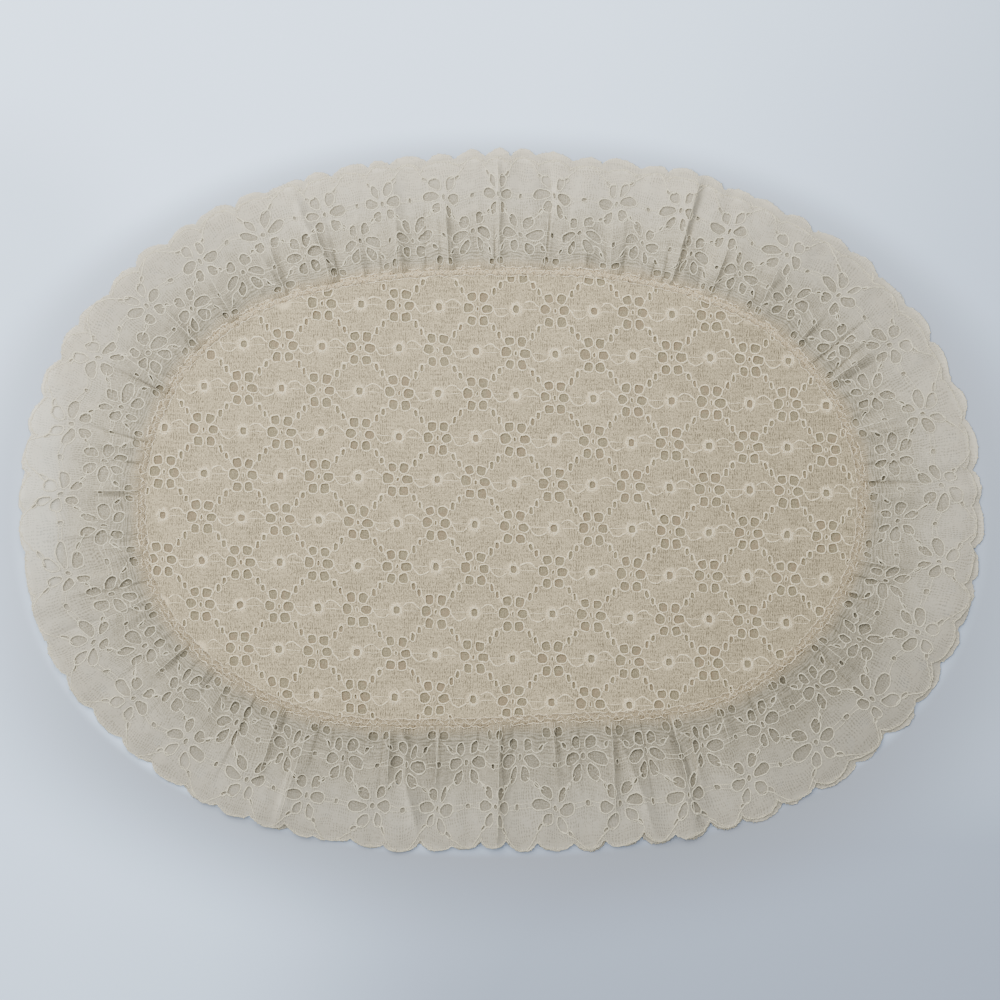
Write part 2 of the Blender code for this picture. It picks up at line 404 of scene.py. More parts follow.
def pleat_lean(index):
    """How far a pleat's crest moves along, in repeats, by the time it is at the rim."""
    return PLEAT_LEAN * math.sin(index * PLEAT_LEAN_TURN)


def pleats(degrees, share):
    """The frill's main folds over a flat lie, in metres."""
    repeat = repeat_of(degrees)
    height = np.zeros_like(repeat)
    half_round = REPEAT_COUNT / 2.0
    rising = np.interp(share, (0.0, FULL_RISE_AT), (GATHERED_RISE, 1.0))
    for index, (_, crest, rise, steep, reach) in enumerate(REPEATS):
        middle = index + crest + pleat_lean(index) * share
        away = (repeat - middle + half_round) % REPEAT_COUNT - half_round
        near = STEEP_FOOT if steep < 0 else SOFT_FOOT
        far = STEEP_FOOT if steep > 0 else SOFT_FOOT
        foot = np.where(away < 0.0, near, far)
        shape = (1.0 - np.clip(np.abs(away) / foot, 0.0, 1.0)) ** CREST_SHARPNESS
        fading = eased(np.clip((reach - share) / PLEAT_FADE, 0.0, 1.0))
        height = height + rise * MM * shape * rising * fading
    return height


def gathered(degrees, share):
    """Small uneven gathers that run out from the seam."""
    height = np.zeros_like(degrees)
    start = np.interp(share, (0.0, GATHER_FULL_AT), (GATHER_RISE_AT_SEAM, 1.0))
    for at, half_width, rise, reach, lean, side in GATHERS:
        if share >= reach:
            continue
        away = turned(degrees - at - lean * share) * side
        near = np.abs(away) < half_width * (1.0 + GATHER_WIDENING)
        away = away[near]
        widened = half_width * (1.0 + GATHER_WIDENING * share / reach)
        widened = np.where(away > 0.0, GATHER_STEP * DEGREES_PER_MM, widened)
        bump = (1.0 - np.clip(np.abs(away) / widened, 0.0, 1.0)) ** CREST_SHARPNESS
        height[near] += rise * bump * start * (1.0 - (share / reach) ** 2)
    return height


def edge_lift(degrees, share):
    """How far the cloth stands off the surface towards its free edge."""
    lift = np.zeros_like(degrees)
    for at, span, height in EDGE_LIFTS:
        away = np.abs(turned(degrees - at))
        lift += np.where(away < span, height * MM * 0.5 * (1.0 + np.cos(math.pi * away / span)), 0.0)
    return lift * share**2


def folds(degrees, share, gathers):
    """Everything that lifts a frill off a flat lie, in metres, never below 0."""
    shift = LEAN_DEGREES * lean_wave(degrees) * share
    swell = SWELL * (1.0 + swell_wave(degrees + shift)) * math.sin(math.pi * min(share, 1.0))
    flutter = FLUTTER * (1.0 + flutter_wave(degrees + shift)) * share**FLUTTER_POWER
    return (
        PRESSED * pleats(degrees, share)
        + gathers * gathered(degrees, share)
        + edge_lift(degrees, share)
        + np.maximum(swell, 0.0)
        + np.maximum(flutter, 0.0)
    )


# ---- Surfaces to lay lace on -----------------------------------------------------------
class Surface:
    """Somewhere to lay lace. Its at() turns flat places in mm into points in metres."""

    mirrored = False
    probe = 0.2

    def normals(self, flat):
        """The cloth's upward directions."""
        aside = np.array([self.probe, 0.0])
        along = np.array([0.0, self.probe])
        du = self.at(flat + aside) - self.at(flat - aside)
        dv = self.at(flat + along) - self.at(flat - along)
        normal = np.cross(dv, du) if self.mirrored else np.cross(du, dv)
        return normal / np.linalg.norm(normal, axis=1)[:, None]


class Frill(Surface):
    """A gathered strip of lace round the seam. Its steep places take the cloth that they need."""

    mirrored = True
    stations = np.concatenate((np.linspace(0.0, 0.30, 20), np.linspace(0.33, 1.0, 30)))
    plan_steps = 200
    flat_steps = 240
    past_rim = 1.02

    def __init__(self, level, is_upper, shift, seed):
        self.level = level
        self.is_upper = is_upper
        self.shift = shift
        self.outline = ripple(seed, 20, 80)
        self.pull_x = closed_field(seed + 1)
        self.pull_t = closed_field(seed + 2)
        self.make_tables()

    def pulled(self, flat):
        """Where in a true lace a place in the drawn one stands."""
        x, t = flat[:, 0], flat[:, 1]
        held = np.clip(t / PULL_HELD_IN, 0.0, 1.0)
        rim = np.clip((STRIP - t) / PULL_HELD_OUT, 0.0, 1.0)
        out = t + PULL_OUT * self.pull_t(x, t) * held * rim
        return np.stack([x + PULL_ALONG * self.pull_x(x, t) * held, out], 1)

    def reach(self, degrees):
        """The upper frill's width and this one's own."""
        width = round_the_seam(FRILL_WIDTHS, degrees) + OUTLINE_WANDER * wander_wide(degrees)
        upper = width - peek(degrees) + UPPER_UNEVEN * self.outline(degrees)
        return upper, upper if self.is_upper else width + LOWER_UNEVEN * self.outline(degrees)

    def make_tables(self):
        """The folded strip by station and flat place, and each station's count of repeats."""
        share = np.arange(self.plan_steps) / self.plan_steps
        spans = np.diff(FLOWERS_AT)
        degrees = (FLOWERS_AT[:-1, None] + spans[:, None] * share[None, :]).ravel()
        degrees = np.append(degrees, FLOWERS_AT[-1])
        px, py, nx, ny = on_seam(degrees)
        upper, own = self.reach(degrees)
        join = round_the_seam(JOIN_LINE, degrees)
        flat = np.arange(REPEAT_COUNT * self.flat_steps + 1) / self.flat_steps
        whole = np.arange(REPEAT_COUNT + 1.0)
        self.table = np.zeros((len(self.stations), len(flat), 3))
        self.counted = np.zeros((len(self.stations), len(degrees)))
        for i, station in enumerate(self.stations):
            out = join + (own - join) * station
            place = (px + nx * out, py + ny * out, self.heights(degrees, station, upper, own))
            step = np.sqrt(sum(np.diff(values) ** 2 for values in place))
            run = np.concatenate(([0.0], np.cumsum(step)))
            self.counted[i] = np.interp(run, run[:: self.plan_steps], whole)
            for axis, values in enumerate(place):
                self.table[i, :, axis] = np.interp(flat, self.counted[i], values)

    def crease(self, repeats, lean, start, stop):
        """Flat places along a crease that leaves the seam at that count of repeats."""
        path = []
        for station, counted in zip(self.stations, self.counted):
            if start <= station <= stop:
                at = (repeats + lean * station) % REPEAT_COUNT * self.plan_steps
                x = float(np.interp(at, np.arange(len(counted)), counted))
                path.append((x * REPEAT, station * STRIP))
        path = np.array(path)
        path[:, 0] -= np.round((path[:, 0] - path[0, 0]) / TOTAL) * TOTAL
        drawn = path
        for _ in range(UNPULL_STEPS):
            drawn = path - (self.pulled(drawn) - drawn)
        return drawn

    def heights(self, degrees, station, upper, own):
        """The cloth's height at one station, a share of its own width."""
        ratio = float(np.mean(own / upper)) * station
        rim = min(max((ratio - RIM_START) / (1.0 - RIM_START), 0.0), 1.0) ** 2
        if self.is_upper:
            lifted = folds(degrees, ratio, UPPER_GATHERS)
            return self.level + lifted * (1.0 - UPPER_RIM_CALM * rim) - UPPER_RIM_DROP * rim
        lifted = LOWER_FOLD_SHARE * folds(degrees, ratio, LOWER_GATHERS)
        flutter = OWN_FLUTTER * (1.0 + self.outline(degrees + OWN_FLUTTER_SHIFT)) * station**3
        flat_lie = self.level - LOWER_RIM_DROP * rim
        return flat_lie + lifted * (1.0 - LOWER_RIM_CALM * rim) + np.maximum(flutter, 0.0)

    def at(self, flat):
        flat = self.pulled(flat)
        steps = self.flat_steps
        q = (flat[:, 0] / REPEAT + self.shift) % REPEAT_COUNT * steps
        column = np.minimum(q.astype(int), REPEAT_COUNT * steps - 1)
        across = (q - column)[:, None]
        v = np.clip(flat[:, 1] / STRIP, 0.0, self.past_rim)
        row = np.clip(np.searchsorted(self.stations, v, side="right") - 1, 0, len(self.stations) - 2)
        low = self.stations[row]
        out = ((v - low) / (self.stations[row + 1] - low))[:, None]
        inner = self.table[row, column] * (1 - across) + self.table[row, column + 1] * across
        outer = self.table[row + 1, column] * (1 - across) + self.table[row + 1, column + 1] * across
        return inner * (1 - out) + outer * out


def oval_measure(x, y):
    """1 on the even oval and 0 in its middle, at mm from the middle."""
    power = np.where(y > 0.0, BACK_CORNER_POWER, FRONT_CORNER_POWER)
    across = np.abs(x * MM / SEAM_HALF_LENGTH) ** power
    along = np.abs(y * MM / SEAM_HALF_WIDTH) ** power
    return (across + along) ** (1.0 / power)


def from_seam(flat):
    """About how far inside the join a place is, in mm."""
    x, y = flat[:, 0], flat[:, 1]
    here = oval_measure(x, y)
    probe = 0.5
    least_slope = 1.0 / 200.0
    slope_x = oval_measure(x + probe, y) - oval_measure(x - probe, y)
    slope_y = oval_measure(x, y + probe) - oval_measure(x, y - probe)
    slope = np.maximum(np.hypot(slope_x, slope_y) / (2.0 * probe), least_slope)
    heading = np.mod(np.arctan2(y, x), TAU)
    degrees = np.interp(heading, SEAM_HEADINGS, SEAM[0] / SEAM_LENGTH * 360.0)
    return (1.0 - here) / slope + round_the_seam(JOIN_LINE, degrees) / MM


class Panel(Surface):
    """The flat centre. Flat places are mm from the seam's middle."""

    held_over = 0.12  # shares of the half width over which the seam's hold dies away
    pucker_over = 0.05
    pucker_from = 0.01

    def __init__(self, level, swell, pucker, drift, seed):
        self.level = level
        self.swell = swell
        self.pucker = pucker
        self.drift = drift
        self.wave = field(seed, 26.0, 70.0)
        self.fine = field(seed + 1, 5.0, 9.0)
        self.pull_x = field(seed + 2, 40.0, 90.0)
        self.pull_y = field(seed + 3, 40.0, 90.0)

    def at(self, flat):
        inside = np.clip(from_seam(flat) * MM / SEAM_HALF_WIDTH, 0.0, 1.0)
        held = np.clip(inside / self.held_over, 0.0, 1.0)
        x = flat[:, 0] + self.drift * self.pull_x(flat[:, 0], flat[:, 1]) * held
        y = flat[:, 1] + self.drift * self.pull_y(flat[:, 0], flat[:, 1]) * held
        rim = np.exp(-inside / self.pucker_over) * np.clip(inside / self.pucker_from, 0.0, 1.0)
        z = self.swell * (1.0 + self.wave(x, y)) * held + self.pucker * rim * (1.0 + self.fine(x, y))
        z = self.level + np.maximum(z, 0.0) * MM
        return np.stack([x * MM + SEAM_CENTRE[0], y * MM + SEAM_CENTRE[1], z], axis=1)


# ---- Meshes ----------------------------------------------------------------------------
HEX_ROW = 0.866  # the height of a row in an even net of triangles, beside its pitch
SAME_SPOT = 1e-6
NO_AREA = 1e-9
PATH_STEPS = 8  # between two corners of a thread's path
LONGEST_STEP = 2.0 * MM  # that a thread's running length grows by from point to point
# How unlike one another eyelets are: place in mm, shares of length and of breadth, heading in
# degrees, squareness
EYELET_PLACE, EYELET_LENGTH, EYELET_BREADTH, EYELET_HEADING, EYELET_SQUARE = 0.16, 0.07, 0.08, 5.0, 0.25


def eyelet_loop(row, grow=0.0, corners=12):
    """A closed loop of points round an eyelet, given as a row like FLOWER_EYELETS."""
    x, y, length, breadth, heading, square, taper = row
    turn = (np.arange(corners) + 0.5) * TAU / corners
    along = np.sign(np.cos(turn)) * np.abs(np.cos(turn)) ** (2.0 / square)
    across = np.sign(np.sin(turn)) * np.abs(np.sin(turn)) ** (2.0 / square)
    ox = (length / 2.0 + grow) * along
    oy = (breadth / 2.0 + grow) * across * (1.0 + taper * along)
    c, s = math.cos(math.radians(heading)), math.sin(math.radians(heading))
    return np.stack([x + ox * c - oy * s, y + ox * s + oy * c], axis=1)


def varied(rows, rng):
    """The same eyelets, each a little off as threads draw them."""
    made = []
    for x, y, length, breadth, heading, square, taper in rows:
        r = rng.uniform(-1.0, 1.0, 6)
        place = (x + EYELET_PLACE * r[0], y + EYELET_PLACE * r[1])
        size = (length * (1.0 + EYELET_LENGTH * r[2]), breadth * (1.0 + EYELET_BREADTH * r[3]))
        made.append((*place, *size, heading + EYELET_HEADING * r[4], square + EYELET_SQUARE * r[5], taper))
    return made


def clear_of(points, eyelets, room):
    """Which points keep that much room from all eyelets, given as rows like FLOWER_EYELETS."""
    keep = np.ones(len(points), bool)
    for x, y, length, breadth, heading, square, _ in eyelets:
        c, s = math.cos(math.radians(heading)), math.sin(math.radians(heading))
        dx, dy = points[:, 0] - x, points[:, 1] - y
        ox = np.abs(dx * c + dy * s) / (length / 2.0 + room)
        oy = np.abs(-dx * s + dy * c) / (breadth / 2.0 + room)
        keep &= ox**square + oy**square > 1.0
    return keep


def hex_grid(x0, x1, y0, y1, pitch):
    """Points that fill a rectangle in even staggered rows."""
    rows = max(int(round((y1 - y0) / (pitch * HEX_ROW))), 1)
    columns = max(int(round((x1 - x0) / pitch)), 1)
    gx, gy = np.meshgrid(np.arange(columns) + 0.5, np.arange(rows) + 0.5)
    gx = gx + 0.25 * np.where(np.arange(rows)[:, None] % 2, 1.0, -1.0)
    xs = x0 + gx.ravel() * (x1 - x0) / columns
    ys = y0 + gy.ravel() * (y1 - y0) / rows
    return np.stack([xs, ys], axis=1)


def pierced(border, loops, fill):
    """A flat sheet with holes: its points, its triangles, and where each border point went."""
    faces, start = [], 0
    for loop in (border, *loops):
        faces.append(list(range(start, start + len(loop))))
        start += len(loop)
    everything = np.concatenate([border, *loops, fill])
    made = delaunay_2d_cdt([Vector(p) for p in everything], [], faces, 1, SAME_SPOT, True)
    spots = np.array([(p.x, p.y) for p in made[0]])
    tris = np.array([tri for tri, owners in zip(made[2], made[5]) if list(owners) == [0]], int)
    where = {source: index for index, sources in enumerate(made[3]) for source in sources}
    a, b, c = spots[tris[:, 0]], spots[tris[:, 1]], spots[tris[:, 2]]
    turn = (b[:, 0] - a[:, 0]) * (c[:, 1] - a[:, 1]) - (b[:, 1] - a[:, 1]) * (c[:, 0] - a[:, 0])
    solid = np.abs(turn) > NO_AREA
    tris = tris[solid]
    flip = turn[solid] < 0.0
    tris[flip] = tris[flip][:, ::-1]
    return spots, tris, where


def vertex_normals(points, tris):
    """Each point's direction, averaged over its triangles by their areas."""
    a, b, c = points[tris[:, 0]], points[tris[:, 1]], points[tris[:, 2]]
    face = np.cross(b - a, c - a)
    normal = np.zeros_like(points)
    for corner in range(3):
        np.add.at(normal, tris[:, corner], face)
    size = np.linalg.norm(normal, axis=1)
    return normal / np.where(size > 0.0, size, 1.0)[:, None]


def link_object(name, data):
    """A new object in the scene."""
    thing = bpy.data.objects.new(name, data)
    bpy.context.scene.collection.objects.link(thing)
    return thing


def edge_keys(pairs, count):
    """One number for each edge, whichever way it runs."""
    pairs = np.sort(pairs, axis=1).astype(np.int64)
    return pairs[:, 0] * count + pairs[:, 1]


def mesh_object(name, points, corners, sizes, uvs, material, sharp=None):
    """A smooth-shaded mesh from arrays. uvs has one row for each face corner."""
    mesh = bpy.data.meshes.new(name)
    mesh.vertices.add(len(points))
    mesh.vertices.foreach_set("co", np.asarray(points, np.float32).ravel())
    mesh.loops.add(len(corners))
    mesh.loops.foreach_set("vertex_index", np.asarray(corners, np.int32))
    mesh.polygons.add(len(sizes))
    starts = np.concatenate(([0], np.cumsum(sizes)[:-1]))
    mesh.polygons.foreach_set("loop_start", np.asarray(starts, np.int32))
    mesh.update(calc_edges=True)
    layer = mesh.uv_layers.new(name="UVMap")
    layer.data.foreach_set("uv", np.asarray(uvs, np.float32).ravel())
    mesh.polygons.foreach_set("use_smooth", np.ones(len(sizes), bool))
    if sharp is not None:
        ends = np.zeros(len(mesh.edges) * 2, np.int32)
        mesh.edges.foreach_get("vertices", ends)
        keys = edge_keys(ends.reshape(-1, 2), len(points))
        mesh.edges.foreach_set("use_edge_sharp", np.isin(keys, edge_keys(sharp, len(points))))
    mesh.validate()
    mesh.materials.append(material)
    return link_object(name, mesh)


def sides_of(tris):
    """The three edges of every triangle, in their own direction."""
    return np.concatenate([tris[:, [0, 1]], tris[:, [1, 2]], tris[:, [2, 0]]])


def cloth_sheet(name, surface, border, loops, fill, thickness, material, ends=()):
    """A closed thin sheet with real eyelets on a surface. ends pairs border points to join."""
    spots, tris, where = pierced(border, loops, fill)
    place = np.arange(len(spots))
    for first, last in ends:
        place[where[last]] = where[first]
    points = surface.at(spots)
    joined = place[tris]
    if surface.mirrored:
        joined, tris = joined[:, ::-1], tris[:, ::-1]
    normal = vertex_normals(points, joined)
    used = np.unique(joined)
    count = len(used)
    fresh = np.full(len(spots), -1)
    fresh[used] = np.arange(count)
    joined = fresh[joined]
    half = normal[used] * thickness / 2.0
    both_sides = np.concatenate([points[used] + half, points[used] - half])

    edges = sides_of(joined)
    forward = edges[:, 0].astype(np.int64) * count + edges[:, 1]
    backward = edges[:, 1].astype(np.int64) * count + edges[:, 0]
    open_edge = ~np.isin(forward, backward)
    rim = edges[open_edge]
    rim_spots = sides_of(tris)[open_edge]
    quads = np.stack([rim[:, 1], rim[:, 0], rim[:, 0] + count, rim[:, 1] + count], axis=1)
    corners = np.concatenate([joined.ravel(), (joined[:, ::-1] + count).ravel(), quads.ravel()])
    sizes = np.concatenate([np.full(2 * len(joined), 3), np.full(len(quads), 4)])
    at_corners = np.concatenate([tris.ravel(), tris[:, ::-1].ravel(), rim_spots[:, [1, 0, 0, 1]].ravel()])
    sharp = np.concatenate([rim, rim + count])
    return mesh_object(name, both_sides, corners, sizes, spots[at_corners] * MM, material, sharp)


def smooth_path(corners, pitch, closed=False):
    """An evenly spaced line through the corners, curved as thread lies."""
    p = np.asarray(corners, float)
    if closed:
        padded = np.concatenate([p[-1:], p, p[:2]])
    else:
        padded = np.concatenate([2 * p[:1] - p[1:2], p, 2 * p[-1:] - p[-2:-1]])
    fine = []
    t = (np.arange(PATH_STEPS) / PATH_STEPS)[:, None]
    for a, b, c, d in zip(padded[:-3], padded[1:-2], padded[2:-1], padded[3:]):
        bend = (2 * a - 5 * b + 4 * c - d) * t**2 + (3 * b - a - 3 * c + d) * t**3
        fine.append(0.5 * (2 * b + (c - a) * t + bend))
    fine = np.concatenate(fine + [p[:1] if closed else p[-1:]])
    steps = np.concatenate(([0.0], np.cumsum(np.hypot(*np.diff(fine, axis=0).T))))
    count = max(int(round(steps[-1] / pitch)), 3)
    at = np.linspace(0.0, steps[-1], count + 1)
    if closed:
        at = at[:-1]
    return np.stack([np.interp(at, steps, fine[:, 0]), np.interp(at, steps, fine[:, 1])], axis=1)


def tube(start, stop, sides, run, run_on, step):
    """Faces between rings of points, and their corners' UVs: run along, step round."""
    k = np.arange(sides)
    on = (k + 1) % sides
    first, second = start[:, None] * sides, stop[:, None] * sides
    quads = np.stack([first + k, second + k, second + on, first + on], axis=2).reshape(-1, 4)
    u0, u1 = np.repeat(run, sides), np.repeat(run_on, sides)
    v0, v1 = np.tile(k * step, len(start)), np.tile((k + 1) * step, len(start))
    uvs = np.stack([np.stack(pair, 1) for pair in ((u0, v0), (u1, v0), (u1, v1), (u0, v1))], 1)
    return quads, uvs


# ---- Threads ---------------------------------------------------------------------------
THREAD_WANDER = 0.19
THREAD_FLATNESS = 0.6
THREAD_UNEVEN = 0.38
# seed, shortest and longest wave in mm
wander_x = field(201, 1.9, 4.5)
wander_y = field(202, 1.9, 4.5)
thick_and_thin = field(203, 1.8, 5.0)


def unit(vectors):
    """The same directions with a length of 1."""
    return vectors / np.maximum(np.linalg.norm(vectors, axis=1), NO_AREA)[:, None]


class Threads:
    """Collects thread paths and lays them on a surface as one mesh of fine flattened tubes."""

    def __init__(self, surface, lift):
        self.surface = surface
        self.lift = lift
        self.points = []
        self.radii = []
        self.nexts = []
        self.befores = []
        self.caps = []
        self.count = 0

    def add(self, path, radius, closed=False):
        """Takes up one thread: flat places and a radius, all in mm."""
        n = len(path)
        index = np.arange(n) + self.count
        ahead, behind = np.roll(index, -1), np.roll(index, 1)
        if not closed:
            ahead[-1], behind[0] = index[-1], index[0]
            self.caps.append((index[0], index[-1]))
        self.points.append(path)
        self.radii.append(np.full(n, radius))
        self.nexts.append(ahead)
        self.befores.append(behind)
        self.count += n

    def mesh(self, name, material, sides):
        """Makes the piece."""
        flat = np.concatenate(self.points)
        fx, fy = flat[:, 0], flat[:, 1]
        uneven = 1.0 + THREAD_UNEVEN * thick_and_thin(fx, fy)
        flat = flat + THREAD_WANDER * np.stack([wander_x(fx, fy), wander_y(fx, fy)], 1)
        radius = (np.concatenate(self.radii) * uneven)[:, None] * MM
        ahead, behind = np.concatenate(self.nexts), np.concatenate(self.befores)
        normal = self.surface.normals(flat)
        middle = self.surface.at(flat) + normal * self.lift * MM
        tangent = unit(middle[ahead] - middle[behind])
        side = unit(np.cross(normal, tangent))
        rise = np.cross(tangent, side) * THREAD_FLATNESS
        angle = (np.arange(sides) + 0.5) * TAU / sides
        rings = [middle + radius * (math.cos(a) * side + math.sin(a) * rise) for a in angle]
        points = np.stack(rings, axis=1).reshape(-1, 3)

        start = np.nonzero(ahead != np.arange(self.count))[0]
        stop = ahead[start]
        step = np.linalg.norm(np.diff(middle, axis=0, prepend=middle[:1]), axis=1)
        run = np.cumsum(np.minimum(step, LONGEST_STEP))
        step_on = np.minimum(np.linalg.norm(middle[stop] - middle[start], axis=1), LONGEST_STEP)
        quads, uv = tube(start, stop, sides, run[start], run[start] + step_on, MM / sides)
        corners, sizes, uvs = [quads.ravel()], [np.full(len(quads), 4)], [uv.reshape(-1, 2)]
        if self.caps:
            caps = np.array(self.caps)
            k = np.arange(sides)
            both = np.concatenate([caps[:, :1] * sides + k, caps[:, 1:] * sides + k[::-1]])
            corners.append(both.ravel())
            sizes.append(np.full(len(both), sides))
            uvs.append(np.repeat(np.stack([run[caps.T.ravel()], np.zeros(len(both))], 1), sides, 0))
        arrays = (np.concatenate(parts) for parts in (corners, sizes, uvs))
        return mesh_object(name, points, *arrays, material)


# ---- The centre's lattice: x, y in mm from the seam's middle ---------------------------
LATTICE_TURN = math.radians(1.8)
LATTICE_LEAN = math.radians(0.6)
LATTICE_LENGTH = 36.3
LATTICE_ROW = 20.28
HALF_LATTICE = LATTICE_LENGTH / 2.0
FIRST_FLOWER = (7.2, 26.75)
ALONG = np.array([math.cos(LATTICE_TURN), -math.sin(LATTICE_TURN)])
UP = np.array([math.sin(LATTICE_LEAN), math.cos(LATTICE_LEAN)])

# ---- Materials -------------------------------------------------------------------------
CENTRE_LIGHT = (0.426, 0.321, 0.178)
CENTRE_DARK = (0.145, 0.108, 0.062)
CENTRE_CORD = (0.97, 0.765, 0.458)
CENTRE_CORD_DARK = (0.5, 0.379, 0.211)
# The backing's tan is its own colour, darkened as painted shade for lying under the centre lace.
BACKING_LIGHT = (0.25, 0.194, 0.107)
BACKING_DARK = (0.167, 0.125, 0.067)
BACKING_PINK = (0.278, 0.183, 0.1)
FRILL_LIGHT = (0.358, 0.286, 0.179)
FRILL_WHITE = (0.607, 0.509, 0.36)
FRILL_DARK = (0.157, 0.125, 0.07)
FRILL_CORD = (0.796, 0.667, 0.437)
FRILL_CORD_DARK = (0.463, 0.379, 0.237)
FRILL_TAN = (0.407, 0.292, 0.156)
# Painted glare at the frill's left end
PAINTED_GLARE = (0.741, 0.667, 0.519)
STITCH_TAN = (0.519, 0.379, 0.211)
STITCH_TAN_DARK = (0.25, 0.171, 0.089)
STITCH_IVORY = (0.926, 0.733, 0.452)
STITCH_IVORY_DARK = (0.519, 0.383, 0.215)
RIDGE_LIGHT = (0.443, 0.326, 0.177)
RIDGE_DARK = (0.111, 0.067, 0.033)
COMB_LIGHT = (0.70, 0.55, 0.34)
COMB_DARK = (0.333, 0.242, 0.133)
FLOOR_PALE = (0.78, 0.88, 1.0)
# Painted shade on the floor
FLOOR_PAINTED_SHADE = (0.42, 0.45, 0.51)
# Painted shadow round the lace on the floor
FLOOR_PAINTED_SHADOW = (0.30, 0.285, 0.28)


class Finish:
    """Builds one procedural material. Its values are node sockets or plain numbers and colours."""

    def __init__(self, name, roughness, sheen):
        self.material = bpy.data.materials.new(name)
        self.material.use_nodes = True
        self.tree = self.material.node_tree
        self.shader = self.tree.nodes["Principled BSDF"]
        self.shader.inputs["Roughness"].default_value = roughness
        self.shader.inputs["Sheen Weight"].default_value = sheen
        self.shader.inputs["Sheen Roughness"].default_value = 0.5
        self.shader.inputs["Specular IOR Level"].default_value = 0.25

    def put(self, socket, value):
        """Links or sets one input."""
        if isinstance(value, bpy.types.NodeSocket):
            self.tree.links.new(value, socket)
        elif isinstance(value, (tuple, list)) and len(value) == 3 and socket.type == "RGBA":
            socket.default_value = (*value, 1.0)
        else:
            socket.default_value = value

    def node(self, kind, *values, **settings):
        """A new node with those settings, and its first inputs filled in."""
        node = self.tree.nodes.new("ShaderNode" + kind)
        for name, setting in settings.items():
            setattr(node, name, setting)
        for socket, value in zip(node.inputs, values):
            self.put(socket, value)
        return node

    def math(self, operation, a, b=0.0, c=0.0):
        """One step of arithmetic."""
        return self.node("Math", a, b, c, operation=operation).outputs[0]

    def chain(self, operation, first, *others):
        """One operation over all the values, from the first on."""
        for other in others:
            first = self.math(operation, first, other)
        return first

    def plus(self, *values):
        return self.chain("ADD", *values)

    def minus(self, a, b):
        return self.math("SUBTRACT", a, b)

    def times(self, *values):
        return self.chain("MULTIPLY", *values)

    def times_plus(self, a, b, c):
        return self.math("MULTIPLY_ADD", a, b, c)

    def most(self, *values):
        return self.chain("MAXIMUM", *values)

    def least(self, *values):
        return self.chain("MINIMUM", *values)

    def size(self, value):
        return self.math("ABSOLUTE", value)

    def length(self, dx, dy):
        return self.math("SQRT", self.plus(self.times(dx, dx), self.times(dy, dy)))

    def scaled(self, vector, factor):
        """A colour or a place times a number."""
        node = self.node("VectorMath", vector, operation="SCALE")
        self.put(node.inputs["Scale"], factor)
        return node.outputs[0]

    def stretched(self, at, scale):
        """A place with its x, y and z scaled apart."""
        return self.node("VectorMath", at, scale, operation="MULTIPLY").outputs[0]

    def split(self, at):
        """A place's x and y."""
        return self.node("SeparateXYZ", at).outputs[:2]

    def flat(self):
        """The place in the flat lace, in mm, as x, y and both."""
        at = self.scaled(self.node("UVMap", uv_map="UVMap").outputs[0], 1.0 / MM)
        return (*self.split(at), at)

    def place(self):
        """The place in space, in mm, as x, y and all three."""
        at = self.scaled(self.node("TexCoord").outputs["Object"], 1.0 / MM)
        return (*self.split(at), at)

    def noise(self, at, pitch, detail=2.0, rough=0.55):
        """Smooth noise about 0.5, with patches of about that many mm."""
        node = self.node("TexNoise", at)
        for name, value in (("Scale", 1.0 / pitch), ("Detail", detail), ("Roughness", rough)):
            node.inputs[name].default_value = value
        return node.outputs["Fac"]

    def wander(self, at, pitch, reach):
        """Smooth noise in mm, about 0."""
        return self.times_plus(self.noise(at, pitch), 2.0 * reach, -reach)

    def wave(self, along, pitch, sharpness=1.0):
        """0 to 1 and back in each pitch, narrower peaks with more sharpness."""
        turn = self.times(along, TAU / pitch)
        level = self.times_plus(self.math("COSINE", turn), 0.5, 0.5)
        return level if sharpness == 1.0 else self.math("POWER", level, sharpness)

    def span(self, value, low, high, out_low=0.0, out_high=1.0):
        """Goes softly from one output to the other between low and high."""
        ends = (low, high, out_low, out_high)
        return self.node("MapRange", value, *ends, interpolation_type="SMOOTHSTEP").outputs[0]

    def away_from(self, x, y, spot_x=0.0, spot_y=0.0):
        """How far a place is from a spot, in mm."""
        return self.length(self.minus(x, spot_x), self.minus(y, spot_y))

    def mix(self, share, first, second):
        """The second colour laid over the first by that share."""
        node = self.node("Mix", data_type="RGBA")
        self.put(node.inputs["Factor"], share)
        self.put(node.inputs["A"], first)
        self.put(node.inputs["B"], second)
        return [out for out in node.outputs if out.type == "RGBA"][0]

    def toned(self, at, pitch, detail, colour, low, high):
        """A colour that drifts between two tints of itself."""
        drift = self.span(self.noise(at, pitch, detail), 0.35, 0.65)
        return self.mix(drift, tinted(colour, low), tinted(colour, high))

    def finish(self, colour, height, depth, strength=0.8, alpha=None):
        """Links the shader. depth is the relief in mm."""
        self.put(self.shader.inputs["Base Color"], colour)
        bump = self.node("Bump")
        bump.inputs["Strength"].default_value = strength
        bump.inputs["Distance"].default_value = depth * MM
        self.put(bump.inputs["Height"], height)
        self.put(self.shader.inputs["Normal"], bump.outputs[0])
        if alpha is not None:
            self.put(self.shader.inputs["Alpha"], alpha)
        return self.material


def tinted(colour, factor):
    """The same colour lighter or darker, none of its parts over 1."""
    return tuple(min(1.0, factor * c) for c in colour)


